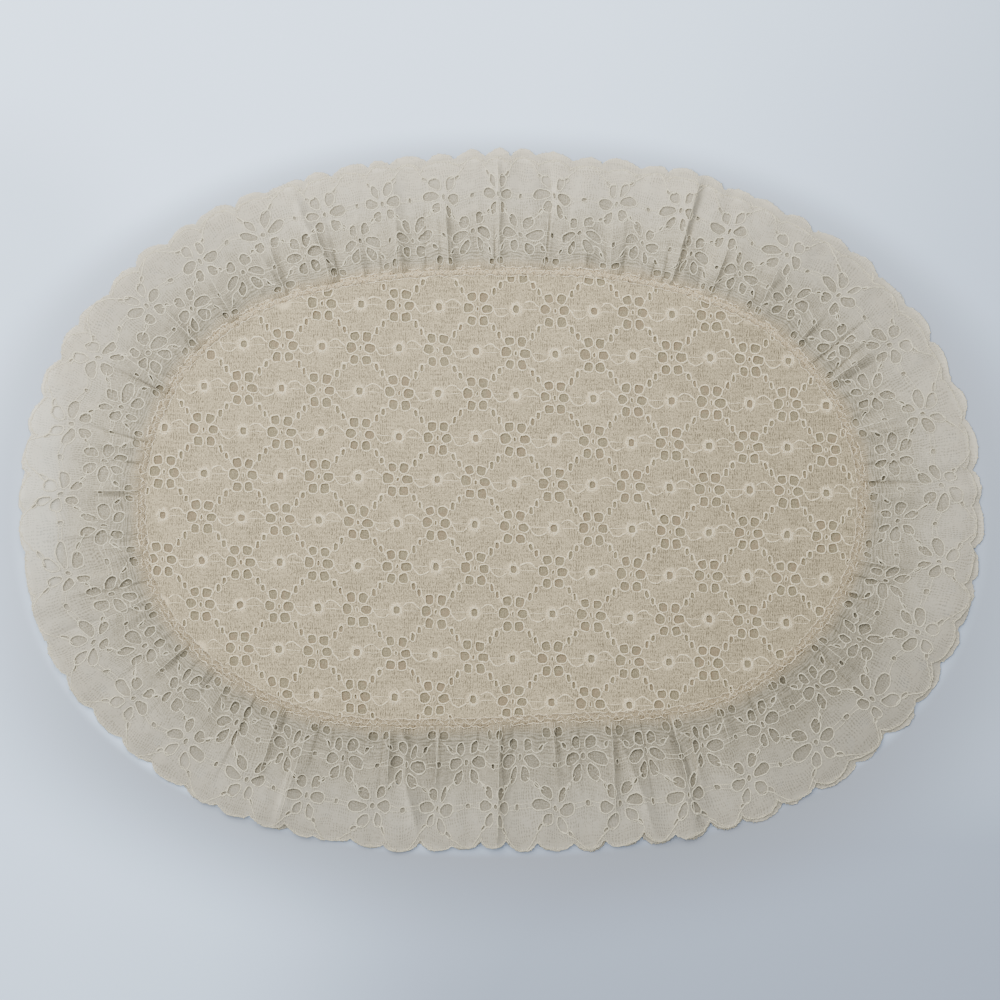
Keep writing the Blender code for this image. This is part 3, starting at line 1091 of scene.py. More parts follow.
def knit(name, light, dark, wale, course, pore_depth, halo=None):
    """A close knitted ground: rows of short dark gaps between its wales, uneven, with fibres."""
    f = Finish(name, 0.85, 0.15)
    x, y, flat = f.flat()
    gap = f.wave(f.plus(x, f.wander(flat, 6.0, 1.2)), wale, 1.3)
    row = f.wave(f.plus(y, f.wander(f.stretched(flat, (0.5, 1.3, 1.0)), 5.0, 1.5)), course, 0.8)
    stitches = f.noise(f.stretched(flat, (1.0 / (0.8 * wale), 1.0 / course, 1.0)), 1.0, 1.0, 0.5)
    tick = f.times(gap, f.times_plus(row, 0.6, 0.4), f.span(stitches, 0.40, 0.56, 0.05, 1.2))
    patches = f.span(f.noise(flat, 6.5, 3.0, 0.65), 0.36, 0.60, 0.25, 1.15)
    streak = f.noise(f.stretched(flat, (1.0 / 6.0, 1.0 / 0.7, 1.0)), 1.0, 2.0, 0.6)
    loose = f.noise(f.stretched(flat, (1.0 / 0.6, 1.0 / 0.9, 1.0)), 1.0, 2.0, 0.6)
    loose = f.span(loose, 0.52, 0.68, 0.0, 0.9)
    pore = f.most(f.times(tick, patches), loose, f.span(streak, 0.56, 0.72, 0.0, 0.6))
    fibre = f.noise(flat, 0.6, 3.0, 0.7)
    pale = f.toned(flat, 22.0, 3.0, light, 0.92, 1.07)
    pale = f.mix(f.span(fibre, 0.44, 0.60), pale, tinted(light, 1.50))
    colour = f.mix(f.least(f.times(pore, pore_depth), 0.9), pale, dark)
    if halo is not None:
        colour = f.mix(halo(f, x, y, fibre), colour, tinted(light, 1.75))
    return f, colour, f.minus(f.times(fibre, 0.35), pore)


def eyelet_halo(f, x, y, fibre):
    """The dense stitches round the lattice's small eyelets, as a share."""
    det = float(ALONG[0] * UP[1] - ALONG[1] * UP[0])
    dx, dy = f.minus(x, FIRST_FLOWER[0]), f.minus(y, FIRST_FLOWER[1])
    a = f.minus(f.times(dx, float(UP[1]) / det), f.times(dy, float(UP[0]) / det))
    b = f.minus(f.times(dy, float(ALONG[0]) / det), f.times(dx, float(ALONG[1]) / det))
    away = []
    for shift_a, shift_b in ((HALF_LATTICE, 0.0), (0.0, LATTICE_ROW)):
        off_a = f.math("WRAP", f.minus(a, shift_a), HALF_LATTICE, -HALF_LATTICE)
        off_b = f.math("WRAP", f.minus(b, shift_b), LATTICE_ROW, -LATTICE_ROW)
        away.append(f.length(off_a, off_b))
    ragged = f.times_plus(fibre, 5.0, -2.5)
    return f.span(f.plus(f.least(*away), ragged), 2.4, 4.3, 0.8, 0.0)


def centre_material():
    """The ivory ground of the centre, a little darker to the right as painted shade."""
    name = "centre_lace_ground"
    sizes = {"wale": 1.04, "course": 2.1, "pore_depth": 0.95}
    f, colour, height = knit(name, CENTRE_LIGHT, CENTRE_DARK, **sizes, halo=eyelet_halo)
    # Painted shade: the ground darkens towards the right.
    colour = f.scaled(colour, f.span(f.flat()[0], 30.0, 130.0, 1.0, 0.88))
    return f.finish(colour, height, depth=0.12)


def backing_material():
    """The tan knit behind it, with pinker patches; its tan is set darker as painted shade under the lace.
    """
    sizes = {"wale": 1.1, "course": 1.5, "pore_depth": 0.7}
    f, colour, height = knit("backing_knit_ground", BACKING_LIGHT, BACKING_DARK, **sizes)
    pinker = f.span(f.noise(f.flat()[2], 7.0), 0.45, 0.62, 0.0, 0.5)
    return f.finish(f.mix(pinker, colour, BACKING_PINK), height, depth=0.15)


def cord_material(name, light, dark):
    """Plied gimp: a twist of pale yarn with fibres standing off it."""
    f = Finish(name, 0.7, 0.2)
    x, y, _ = f.flat()
    place = f.place()[2]
    twist = f.wave(f.plus(x, f.times(y, 0.9)), 0.9)
    fibre = f.noise(place, 0.8, 3.0, 0.7)
    pale = f.toned(place, 12.0, 2.0, light, 0.94, 1.0)
    thin = f.span(fibre, 0.34, 0.54, 0.6, 0.0)
    colour = f.mix(f.times_plus(f.minus(1.0, twist), 0.2, thin), pale, dark)
    return f.finish(colour, f.times_plus(fibre, 0.5, twist), depth=0.16)


# Painted shade where a fold's flank turns from the light, and painted light on the cloth before
# it. How far out each runs is one of FOLD_SHADE_REACHES, and its width is negative where the
# shade falls back towards the repeats before it.
# repeats, lean, width mm, shade, light, reach
FOLD_SHADES = (
    (1.32, 0.04, 6.5, 0.70, 0.60, 1),
    (2.40, 0.09, -5.5, 0.60, 0.20, 0),
    (3.42, -0.15, 10.0, 0.60, 0.60, 1),
    (4.68, 0.22, 12.5, 0.60, 0.70, 1),
    (5.29, -0.05, -8.5, 0.60, 0.50, 2),
    (5.95, 0.0, -4.0, 0.50, 0.20, 0),
    (6.35, 0.10, -5.5, 0.50, 0.30, 0),
    (6.92, 0.0, -12.5, 0.70, 0.40, 1),
    (7.56, 0.0, 12.5, 0.50, 0.70, 2),
    (8.40, 0.05, -7.0, 0.50, 0.90, 2),
    (9.43, 0.0, -11.0, 0.70, 0.50, 1),
    (10.30, 0.0, -8.5, 0.65, 0.40, 2),
    (11.05, 0.19, -7.0, 0.60, 0.20, 0),
    (11.65, 0.19, -12.5, 0.70, 0.40, 2),
    (12.50, 0.22, -6.5, 0.60, 0.40, 1),
    (12.85, 0.18, -5.5, 0.50, 0.20, 0),
    (13.38, 0.06, -5.5, 0.40, 0.70, 0),
    (14.50, 0.0, -5.5, 0.50, 0.30, 0),
    (15.16, 0.0, -7.0, 0.70, 0.80, 1),
    (16.58, -0.17, -5.5, 0.50, 0.70, 0),
    (18.25, 0.0, -4.0, 0.50, 0.30, 0),
    (19.36, -0.11, -5.5, 0.50, 0.60, 2),
    (20.60, 0.0, -5.0, 0.50, 0.30, 0),
    (21.30, 0.0, -5.0, 0.60, 0.30, 0),
    (22.80, 0.35, -7.0, 0.70, 0.20, 0),
    (23.24, -0.08, 5.5, 0.20, 0.90, 2),
    (24.85, 0.25, 10.0, 0.70, 0.80, 2),
    (25.45, 0.04, -8.5, 0.60, 0.70, 1),
    (26.65, 0.04, 7.0, 0.55, 0.70, 2),
    (27.50, 0.04, 5.5, 0.50, 0.50, 1),
    (28.55, 0.28, 11.0, 0.60, 0.80, 2),
    (29.50, 0.11, -8.5, 0.90, 0.70, 2),
    (30.35, 0.10, -5.5, 0.60, 0.30, 0),
    (32.85, 0.15, 5.5, 0.30, 0.60, 1),
    (34.20, 0.0, -4.0, 0.40, 0.30, 0),
)
FOLD_SHADE_REACHES = ((6.0, 18.0), (14.0, 36.0), (36.0, 53.0))
FOLD_SHADE_DEPTH = 0.95
SHADE_LIGHT_FROM = 0.2
SHADE_EDGE = 0.04
MID_GREY = 0.5
LIGHT_SHARE = 0.3
DARK_SHARE = 0.5


def fold_shades(f, x, y):
    """The painted light and shade of the folds about each place, as a factor."""
    fades = [f.span(y, near, far, 1.0, 0.0) for near, far in FOLD_SHADE_REACHES]
    total = f.times(fades[0], 0.0)
    for repeats, lean, width, shade, light, reach in FOLD_SHADES:
        along = f.times_plus(y, -lean, x) if lean else x
        scale = 0.5 / width
        ramp = f.node("ValToRGB", f.times_plus(along, scale, 0.5 - repeats * REPEAT * scale))
        elements = ramp.color_ramp.elements
        elements[0].position = SHADE_LIGHT_FROM
        for end in (elements[0], elements[1]):
            end.color = (MID_GREY, MID_GREY, MID_GREY, 1.0)
        lit = (0.5 - SHADE_EDGE, MID_GREY + LIGHT_SHARE * light)
        shaded = (0.5 + SHADE_EDGE, MID_GREY - DARK_SHARE * shade)
        for at, level in (lit, shaded):
            elements.new(at).color = (level, level, level, 1.0)
        total = f.times_plus(f.minus(ramp.outputs["Color"], MID_GREY), fades[reach], total)
    return f.times_plus(total, FOLD_SHADE_DEPTH, 1.0)


# Where painted shade makes the frill a little darker at the doily's corners: x, y in mm and the tone there
CORNER_SHADES = ((-150.0, 95.0, 0.85), (160.0, 95.0, 0.84), (160.0, -95.0, 0.84))


def frill_holes(f, x, y, flat):
    """The net's gaps: in columns everywhere, and in wavy courses by the seam."""
    column = f.wave(f.plus(x, f.wander(flat, 5.0, 1.3)), 1.15, 1.4)
    course = f.wave(f.plus(y, f.wander(f.stretched(flat, (0.6, 1.3, 1.0)), 4.5, 1.7)), 1.35)
    patch = f.span(f.noise(flat, 6.0, 2.0, 0.6), 0.36, 0.58, 0.15, 1.0)
    tick = f.times(column, f.times_plus(course, 0.75, 0.25), patch)
    near = f.times(f.span(y, 5.0, 21.0, 0.9, 0.12), f.span(y, 1.5, 6.0, 0.45, 1.0))
    torn = f.noise(f.stretched(flat, (0.4, 1.0, 1.0)), 1.4, 2.0, 0.6)
    line = f.times(course, f.span(torn, 0.36, 0.58, 0.15, 1.0), near)
    loose = f.noise(f.stretched(flat, (1.1, 0.8, 1.0)), 0.75, 2.0, 0.6)
    return f.most(tick, line, f.span(loose, 0.54, 0.72, 0.0, 0.7))


def frill_material(name, light, sheer, rim, foot, folded):
    """Net lace: tan by the seam, whiter and clearer towards its rim; painted glare, light and shade."""
    f = Finish(name, 0.85, 0.15)
    x, y, flat = f.flat()
    place_x, place_y, _ = f.place()
    hole = frill_holes(f, x, y, flat)
    fibre = f.noise(flat, 0.6, 3.0, 0.7)
    pale = f.toned(flat, 16.0, 3.0, light, 0.95, 1.06)
    pale = f.mix(f.span(y, *rim), pale, FRILL_WHITE)
    pale = f.mix(f.span(fibre, 0.40, 0.66, 0.0, 0.6), pale, tinted(FRILL_WHITE, 1.1))
    # The net's gaps are drawn dark, and darker by the seam as painted shade from the layers below.
    colour = f.mix(f.times(hole, f.span(y, 6.0, 46.0, 0.74, 0.36)), pale, FRILL_DARK)
    colour = f.mix(f.span(y, 0.5, 6.0, 0.7, 0.0), colour, FRILL_TAN)
    pits = f.times(f.span(y, 1.5, 4.5, 1.0, 0.0), f.wave(x, 1.3, 1.6))
    colour = f.mix(f.times(pits, 0.40), colour, FRILL_DARK)
    # Painted shade: the lower net darkens by the seam, as deep in shade under the upper net.
    colour = f.mix(f.span(y, 6.0, 12.0, foot, 0.0), colour, FRILL_DARK)
    # Painted glare: the frill's left end is washed towards a pale cream where the light catches it.
    aside = f.size(f.minus(place_y, 8.0))
    painted_glare = f.times(f.span(place_x, -213.0, -199.0, 0.65, 0.0), f.span(aside, 30.0, 60.0, 1.0, 0.25))
    colour = f.mix(painted_glare, colour, PAINTED_GLARE)

    # Painted light and shade: lighter towards the back and darker at three corners. The net is also a
    # little lighter towards its rim. The upper net takes the painted light and shade of its folds, and the
    # lower net painted light at both ends.
    shade = f.span(place_y, -140.0, 150.0, 0.92, 1.12)
    for spot_x, spot_y, tone in CORNER_SHADES:
        corner = f.away_from(place_x, place_y, spot_x, spot_y)
        shade = f.times(shade, f.span(corner, 15.0, 75.0, tone, 1.0))
    shade = f.times(shade, f.span(y, 34.0, 48.0, 1.0, 1.07))
    if folded:
        shade = f.times(shade, fold_shades(f, x, y))
    else:
        shade = f.times(shade, f.span(f.size(place_x), 110.0, 200.0, 1.0, 1.12))
    height = f.minus(f.times(fibre, 0.35), f.times(hole, 0.8))
    outer = f.minus(f.span(y, 26.0, 48.0, 0.05, 0.38), f.span(y, 49.5, 52.0, 0.0, 0.22))
    clear = f.times_plus(f.span(hole, 0.15, 0.7), sheer, outer)
    return f.finish(f.scaled(colour, shade), height, depth=0.10, alpha=f.minus(1.0, clear))


# Where the seam's cloth is pitted: mm across the band, reach and depth
NEEDLE_LINES = ((0.75, 0.55, 0.8), (3.35, 0.5, 1.0), (2.1, 0.6, 0.35))


def band_material():
    """Pressed layers under the overlock: tan, pitted along both needle lines, with painted light to the
    back.
    """
    f = Finish("seam_ridge_cloth", 0.85, 0.15)
    x, y, flat = f.flat()
    fibre = f.noise(flat, 0.5, 3.0, 0.7)
    blotch = f.noise(flat, 3.0, 3.0, 0.6)
    across = f.plus(y, f.wander(flat, 5.0, 0.8))
    stitch = f.wave(f.plus(x, f.times(fibre, 1.5)), 1.35, 1.5)
    rows = []
    for middle, reach, deep in NEEDLE_LINES:
        row = f.span(f.size(f.minus(across, middle)), 0.25, reach, 1.0, 0.0)
        rows.append(f.times(row, stitch, deep))
    pits = f.times(f.most(*rows), f.span(blotch, 0.3, 0.55, 0.25, 1.0))
    pale = f.mix(f.span(blotch, 0.3, 0.7), tinted(RIDGE_LIGHT, 0.9), RIDGE_LIGHT)
    pale = f.mix(f.span(fibre, 0.3, 0.7, 0.0, 0.6), pale, tinted(RIDGE_LIGHT, 1.2))
    # Painted light: the band is lighter towards the back and darker at the front.
    colour = f.scaled(f.mix(pits, pale, RIDGE_DARK), f.span(f.place()[1], 20.0, 105.0, 0.80, 1.35))
    return f.finish(colour, f.minus(f.times(fibre, 0.4), pits), depth=0.22, strength=0.9)


OVAL_POWER = 2.3
OVAL_HALF_LENGTH = 223.0
OVAL_HALF_WIDTH = 162.0


def floor_material():
    """A pale table with painted shade towards one corner and a painted shadow round the lace."""
    f = Finish("pale_floor", 0.6, 0.0)
    x, y, place = f.place()
    tone = f.noise(place, 160.0)
    colour = f.mix(f.span(tone, 0.3, 0.7), tinted(FLOOR_PALE, 0.97), FLOOR_PALE)
    # Painted shade: darker towards the front and right, with a soft darker patch at the back left, fading
    # out far from the lace.
    low_left = f.times(f.span(y, -190.0, -100.0, 0.5, 0.0), f.span(x, -150.0, -20.0))
    painted_shade = f.plus(f.span(f.times_plus(y, -0.6, x), -90.0, 225.0, 0.0, 0.62), low_left)
    painted_shade = f.plus(painted_shade, f.span(f.away_from(x, y, -235.0, 120.0), 20.0, 85.0, 0.28, 0.0))
    painted_shade = f.times(f.least(painted_shade, 1.0), f.span(f.away_from(x, y), 340.0, 640.0, 1.0, 0.0))
    colour = f.mix(painted_shade, colour, FLOOR_PAINTED_SHADE)

    # Painted shadow round the lace: wider and stronger towards the front, faint right at the rim towards
    # the front.
    across = f.math("POWER", f.size(f.times(x, 1.0 / OVAL_HALF_LENGTH)), OVAL_POWER)
    along = f.math("POWER", f.size(f.times(y, 1.0 / OVAL_HALF_WIDTH)), OVAL_POWER)
    oval = f.math("POWER", f.plus(across, along), 1.0 / OVAL_POWER)
    reach = f.span(y, -60.0, 150.0, 1.34, 1.09)
    painted_shadow = f.times(f.span(oval, 0.98, reach, 1.0, 0.0), f.span(y, -150.0, -40.0, 0.82, 0.62))
    rim = f.span(oval, 1.0, 1.035, f.span(y, -140.0, 60.0, 0.05, 1.0), 1.0)
    colour = f.mix(f.times(painted_shadow, rim), colour, FLOOR_PAINTED_SHADOW)
    return f.finish(colour, f.noise(place, 1.5, 4.0, 0.7), depth=0.05, strength=0.3)


CENTRE_GROUND = centre_material()
BACKING_GROUND = backing_material()
UPPER_NET = frill_material(
    "upper_frill_net", FRILL_LIGHT, sheer=0.22, rim=(18.0, 44.0), foot=0.0, folded=True
)
# Painted shade: the lower net's colour is darkened for lying in shade under the upper net.
LOWER_NET = frill_material(
    "lower_frill_net", tinted(FRILL_LIGHT, 0.67), sheer=0.08, rim=(28.0, 50.0), foot=0.40, folded=False
)
CENTRE_GIMP = cord_material("centre_gimp", CENTRE_CORD, CENTRE_CORD_DARK)
FRILL_GIMP = cord_material("frill_gimp", FRILL_CORD, FRILL_CORD_DARK)
# Painted light: the lower frill's cords are lightened against the shade they lie in along the rim.
UNDER_GIMP = cord_material("under_frill_gimp", tinted(FRILL_CORD, 1.2), tinted(FRILL_CORD_DARK, 1.4))
TAN_THREAD = cord_material("tan_seam_thread", STITCH_TAN, STITCH_TAN_DARK)
IVORY_THREAD = cord_material("ivory_seam_thread", STITCH_IVORY, STITCH_IVORY_DARK)
COMB_THREAD = cord_material("comb_gather_yarn", COMB_LIGHT, COMB_DARK)
RIDGE_KNIT = band_material()

# ---- Frill lace ------------------------------------------------------------------------
RIM_PITCH = 1.25
BORDER_KEEP = 0.45  # mm that fill points keep from the scalloped edge
END_KEEP = 0.5  # and from the line where the strip's ends meet
COVER_ROOM = 0.4  # mm apart that eyelets of the two layers have to be to stay open
HOLE_SHARE = 0.45  # of the fill's pitch that is left round an eyelet
CREASE_SPACING = 1.7  # mm between fill points along a crease
CREASE_ROOM = 0.75  # mm that other fill points keep from them
CREASE_KEEP = 0.3  # mm that they keep from eyelets
STEEP_AWAY = 0.8  # mm to either side that a place's slope is looked for
STEEP_PROBE = 0.35
LAST_STATION = 0.97  # where a crease that runs to the rim ends, in shares of the width

# Where the strip's two ends meet, between the eyelets.
# t, x
END_LINE = (
    (0.0, 17.5),
    (7.2, 17.5),
    (11.0, 14.0),
    (14.0, 12.6),
    (19.5, 12.6),
    (25.0, 8.2),
    (30.0, 6.0),
    (40.5, 6.0),
    (45.0, 5.5),
    (STRIP, 5.5),
)

# Cords of one repeat, either side of its middle: mm aside, t
ARCH = ((-3.6, 43.8), (-5.8, 44.2), (-8.4, 46.0), (-11.2, 49.0), (-13.6, 51.3), (-15.5, 52.4))
FOOT_SCROLL = ((3.0, 7.8), (4.4, 8.6), (6.4, 11.3), (8.8, 12.4), (11.4, 11.5))
NECK = ((12.4, 23.8), (10.6, 24.6), (8.8, 25.6), (7.0, 27.4), (5.4, 28.2))
BAR = (1.4, 7.0)  # from and to, mm from the small eyelet between two flowers
BAR_HALF = 0.75
BAR_SPREAD = 1.3
CORD = 0.33
FINE_CORD = 0.28
LINE = 0.20
RING_ROOM = 0.26
NEAR_FOOT = 6.5
RIM_CORD = 0.22
RIM_OUT = 0.02
RIM_LOOSE = 0.12
RIM_STEP = 0.9
PICOT_CORD = 0.20
PICOT_PITCH = 1.75
PICOT_HALVES = (0.4, 0.7)
PICOT_TOPS = (0.15, 0.65)
PICOT_FEET = (0.3, 1.1)
CREASE = 0.20
FINE_CREASE = 0.15
HIGH_PLEAT = 2.5  # a pleat that rises more than this, in mm, has the thicker crease
CREASE_STOP = 0.12


def frill_eyelets():
    """All eyelets of one repeat in its flat mm."""
    rows = []
    for side in (-1.0, 1.0):
        rows.append((HALF + side * 3.5, FOOT_ROW - 0.6, 3.4, 4.3, 90.0 - side * 6.0, 2.6, 0.0))
    for x, t in ((0.0, NEAR_ROW), (HALF, FAR_ROW)):
        rows += [(x + ex, t + et, *rest) for ex, et, *rest in FLOWER_EYELETS]
    for x, t in ((HALF, NEAR_ROW), (0.0, FAR_ROW)):
        rows.append((x, t, 2.2, 2.1, 0.0, 3.0, 0.0))
    for side in (-1.0, 1.0):
        rows.append((HALF + side * 6.3, 9.9, 3.3, 1.5, 90.0 - side * 50.0, 2.2, 0.0))
        rows.append((HALF + side * 8.1, FAR_ROW - 8.3, 2.7, 1.4, 90.0 + side * 35.0, 2.2, 0.0))
        rows.append((HALF + side * 7.6, FAR_ROW + 9.6, 3.0, 1.4, 90.0 - side * 45.0, 2.2, 0.0))
    return rows


FRILL_EYELETS = frill_eyelets()


def frill_rows(seed):
    """The eyelets of each repeat, a little different from one to the next."""
    rng = np.random.default_rng(seed)
    return [varied(FRILL_EYELETS, rng) for _ in range(REPEAT_COUNT)]


def strip_edge(x):
    """How far out the scalloped edge stands."""
    full = np.abs(np.cos(TAU * np.asarray(x) / REPEAT)) ** SCALLOP_FULLNESS
    degrees = np.asarray(x) / TOTAL * 360.0
    depth = SCALLOP_DEPTH * (1.0 + SCALLOP_UNEVEN * scallop_depth(degrees))
    return STRIP - depth * (1.0 - full) - RIM_INSET * (1.0 + scallop_reach(degrees))


def end_line(t):
    """Where the strip's first end stands."""
    return np.interp(t, [row[0] for row in END_LINE], [row[1] for row in END_LINE])


def strip_border(pitch):
    """The strip's outline and the pairs of its points that are the same place."""
    start_at, edge_at = END_LINE[0][1], END_LINE[-1][1]
    edge_t = float(strip_edge(edge_at))
    side_t = np.linspace(0.0, edge_t, int(edge_t / pitch) + 1)
    inner_x = np.linspace(start_at, start_at + TOTAL, int(TOTAL / pitch) + 1)[1:-1]
    outer_x = np.linspace(edge_at, edge_at + TOTAL, int(TOTAL / RIM_PITCH) + 1)[1:-1][::-1]
    left = np.stack([end_line(side_t), side_t], 1)
    right = left + (TOTAL, 0.0)
    inner = np.stack([inner_x, np.zeros_like(inner_x)], 1)
    outer = np.stack([outer_x, strip_edge(outer_x)], 1)
    border = np.concatenate([left[:1], inner, right, outer, left[1:][::-1]])
    last = len(border)
    right_start = 1 + len(inner)
    ends = [(0, right_start)]
    ends += [(last - i, right_start + i) for i in range(1, len(left))]
    return border, ends


def open_below(upper_surface, upper_rows, lower_surface, lower_rows):
    """The under layer's eyelets that no eyelet of the upper layer stands over."""

    def spots(surface, rows):
        """Where eyelets stand in space, and about how far each one reaches."""
        numbered = [(i, row) for i, repeat in enumerate(rows) for row in repeat]
        places = np.array([(row[0] + i * REPEAT, row[1]) for i, row in numbered])
        reach = np.array([(row[2] + row[3]) / 4.0 for _, row in numbered])
        return surface.at(places)[:, :2] / MM, reach

    over, over_reach = spots(upper_surface, upper_rows)
    under = zip(*spots(lower_surface, lower_rows))
    kept = []
    for repeat in lower_rows:
        kept.append([])
        for row, (spot, reach) in zip(repeat, under):
            away = np.hypot(over[:, 0] - spot[0], over[:, 1] - spot[1])
            if np.all(away > over_reach + reach + COVER_ROOM):
                kept[-1].append(row)
    return kept


def crease_fill(surface, around):
    """Flat places along both edges of each gather's step, and along each pleat's crest."""
    paths = []
    for at, _, _, reach, lean, side in GATHERS:
        for step in (0.0, GATHER_STEP, 2.4 * GATHER_STEP):
            degrees = at + side * step * DEGREES_PER_MM
            start = float(repeat_of(degrees))
            lean_repeats = float(repeat_of(degrees + 0.5) - start) % REPEAT_COUNT * 2.0 * lean
            paths.append(surface.crease(start, lean_repeats, 0.01, reach))
    for index, (_, crest, _, _, reach) in enumerate(REPEATS):
        paths.append(surface.crease(index + crest, pleat_lean(index), 0.02, min(reach, LAST_STATION)))
    spots = []
    for path in paths:
        t = np.arange(path[0, 1] + 0.6, path[-1, 1], CREASE_SPACING)
        spots.append(np.stack([np.interp(t, path[:, 1], path[:, 0]), t], 1))
    spots = np.concatenate(spots)
    spots[:, 0] = np.mod(spots[:, 0], TOTAL)
    in_repeat = np.stack([np.mod(spots[:, 0], REPEAT), spots[:, 1]], 1)
    spots = spots[clear_of(in_repeat, around, CREASE_KEEP)]
    return np.concatenate([spots, spots + (TOTAL, 0.0)])


def apart_from(points, others, room):
    """Which points keep that much room from all the others."""
    tree = KDTree(len(others))
    for index, (x, y) in enumerate(others):
        tree.insert((x, y, 0.0), index)
    tree.balance()
    return np.array([tree.find((x, y, 0.0))[2] > room for x, y in points])


def steep_at(surface, flat, steepness):
    """Which places stand on a slope, or right beside one."""
    slope = np.zeros(len(flat))
    for away in (-STEEP_AWAY, 0.0, STEEP_AWAY):
        here = flat + (away, 0.0)
        step = surface.at(here + (STEEP_PROBE, 0.0)) - surface.at(here - (STEEP_PROBE, 0.0))
        slope = np.maximum(slope, np.abs(step[:, 2]) / (2.0 * STEEP_PROBE * MM))
    return slope > steepness


def strip_loops(rows, corners):
    """The outlines of all the strip's eyelets, small ones with fewer corners."""
    loops = []
    for index in range(REPEAT_COUNT + 1):
        for row in rows[index % REPEAT_COUNT]:
            own = corners if row[2] > BIG_EYELET else max(corners - 4, 6)
            loop = eyelet_loop(row, corners=own) + (index * REPEAT, 0.0)
            x, t = loop.mean(axis=0)
            if end_line(t) < x < end_line(t) + TOTAL:
                loops.append(loop)
    return loops


def strip_fill(surface, rows, pitch, fine_pitch, steepness):
    """Places that fill the strip round its eyelets, closer together on slopes."""
    inset = 0.4
    grids = [hex_grid(0.0, REPEAT, inset, STRIP - inset, size) for size in (pitch, fine_pitch)]
    chosen = []
    for index in range(REPEAT_COUNT + 1):
        near = []
        for step in (-1, 0, 1):
            near += [(x + step * REPEAT, *rest) for x, *rest in rows[(index + step) % REPEAT_COUNT]]
        for grid, size, wanted in zip(grids, (pitch, fine_pitch), (False, True)):
            spots = grid[clear_of(grid, near, HOLE_SHARE * size)] + (index * REPEAT, 0.0)
            chosen.append(spots[steep_at(surface, spots, steepness) == wanted])
    return np.concatenate(chosen)


def frill_sheet(name, surface, rows, material, pitch, fine_pitch, steepness, corners, creased):
    """One frill's net, with points along its creases where it has them."""
    fill = strip_fill(surface, rows, pitch, fine_pitch, steepness)
    if creased:
        around = [(x + s, *rest) for x, *rest in FRILL_EYELETS for s in (-REPEAT, 0.0, REPEAT)]
        creases = crease_fill(surface, around)
        fill = np.concatenate([creases, fill[apart_from(fill, creases, CREASE_ROOM)]])
    first = end_line(fill[:, 1])
    inside = (fill[:, 0] > first + END_KEEP) & (fill[:, 0] < first + TOTAL - END_KEEP)
    inside &= fill[:, 1] < strip_edge(fill[:, 0]) - BORDER_KEEP
    border, ends = strip_border(pitch)
    loops = strip_loops(rows, corners)
    return cloth_sheet(name, surface, border, loops, fill[inside], NET_THICKNESS, material, ends)


def repeat_cords(pitch):
    """The scrolls, arches and bars of one repeat, with their radii."""
    paths = []
    for side in (-1.0, 1.0):
        for route, radius in ((ARCH, FINE_CORD), (FOOT_SCROLL, CORD), (NECK, CORD)):
            paths.append(([(HALF + side * aside, t) for aside, t in route], radius))
        for level in (-BAR_HALF, BAR_HALF):
            for x, t in ((HALF, NEAR_ROW), (0.0, FAR_ROW)):
                bar = [(x + side * BAR[0], t + level), (x + side * BAR[1], t + BAR_SPREAD * level)]
                paths.append((bar, LINE))
    return [(smooth_path(corners, pitch), radius) for corners, radius in paths]


def frill_cords(threads, rows, pitch):
    """The gimp of the whole strip."""
    paths = repeat_cords(pitch)
    for index in range(REPEAT_COUNT):
        for row in rows[index]:
            ring = smooth_path(eyelet_loop(row, grow=RING_ROOM), pitch, True)
            radius = CORD if row[2] > BIG_EYELET else FINE_CORD
            radius = LINE if row[1] < NEAR_FOOT else radius
            threads.add(ring + (index * REPEAT, 0.0), radius, True)
        for path, radius in paths:
            threads.add(path + (index * REPEAT, 0.0), radius)
    rng = np.random.default_rng(83)
    along = np.arange(0.0, TOTAL, RIM_STEP)
    loose = rng.uniform(-RIM_LOOSE, RIM_LOOSE, len(along))
    threads.add(np.stack([along, strip_edge(along) + RIM_OUT + loose], 1), RIM_CORD, True)
    add_picots(threads, rng)


def add_picots(threads, rng):
    """Little uneven loops of yarn along the scallops."""
    count = int(TOTAL / PICOT_PITCH)
    for index in range(count):
        x = (index + rng.uniform(-0.25, 0.25)) * TOTAL / count
        slope = float(strip_edge(x + 0.5) - strip_edge(x - 0.5))
        edge = float(strip_edge(x))
        half = rng.uniform(*PICOT_HALVES)
        top = edge + rng.uniform(*PICOT_TOPS)
        foot = edge - rng.uniform(*PICOT_FEET)
        loop = [(x - half, foot - half * slope), (x, top), (x + half, foot + half * slope)]
        threads.add(np.array(loop), PICOT_CORD)


def crease_edges(threads):
    """Bright threads for the net doubled over on each pleat's crest, and a painted highlight there."""
    for index, (_, crest, rise, _, reach) in enumerate(REPEATS):
        stop = min(reach - CREASE_STOP, LAST_STATION)
        path = threads.surface.crease(index + crest, pleat_lean(index), 0.03, stop)
        threads.add(path, CREASE if rise > HIGH_PLEAT else FINE_CREASE)


upper = Frill(UPPER_LEVEL, is_upper=True, shift=0.0, seed=31)
lower = Frill(LOWER_LEVEL, is_upper=False, shift=-0.5, seed=37)
upper_rows = frill_rows(41)
lower_rows = open_below(upper, upper_rows, lower, frill_rows(43))
finer = {"pitch": 1.95, "fine_pitch": 1.2, "steepness": 0.45, "corners": 12, "creased": True}
coarser = {"pitch": 3.0, "fine_pitch": 1.7, "steepness": 0.4, "corners": 10, "creased": False}
upper_sheet = frill_sheet("upper_frill_lace", upper, upper_rows, UPPER_NET, **finer)
lower_sheet = frill_sheet("lower_frill_lace", lower, lower_rows, LOWER_NET, **coarser)

upper_threads = Threads(upper, lift=0.14)
frill_cords(upper_threads, upper_rows, pitch=0.95)
crease_edges(upper_threads)
upper_threads.mesh("upper_frill_gimp", FRILL_GIMP, sides=4)
lower_threads = Threads(lower, lift=-0.05)
frill_cords(lower_threads, lower_rows, pitch=1.6)
lower_threads.mesh("lower_frill_gimp", UNDER_GIMP, sides=3)

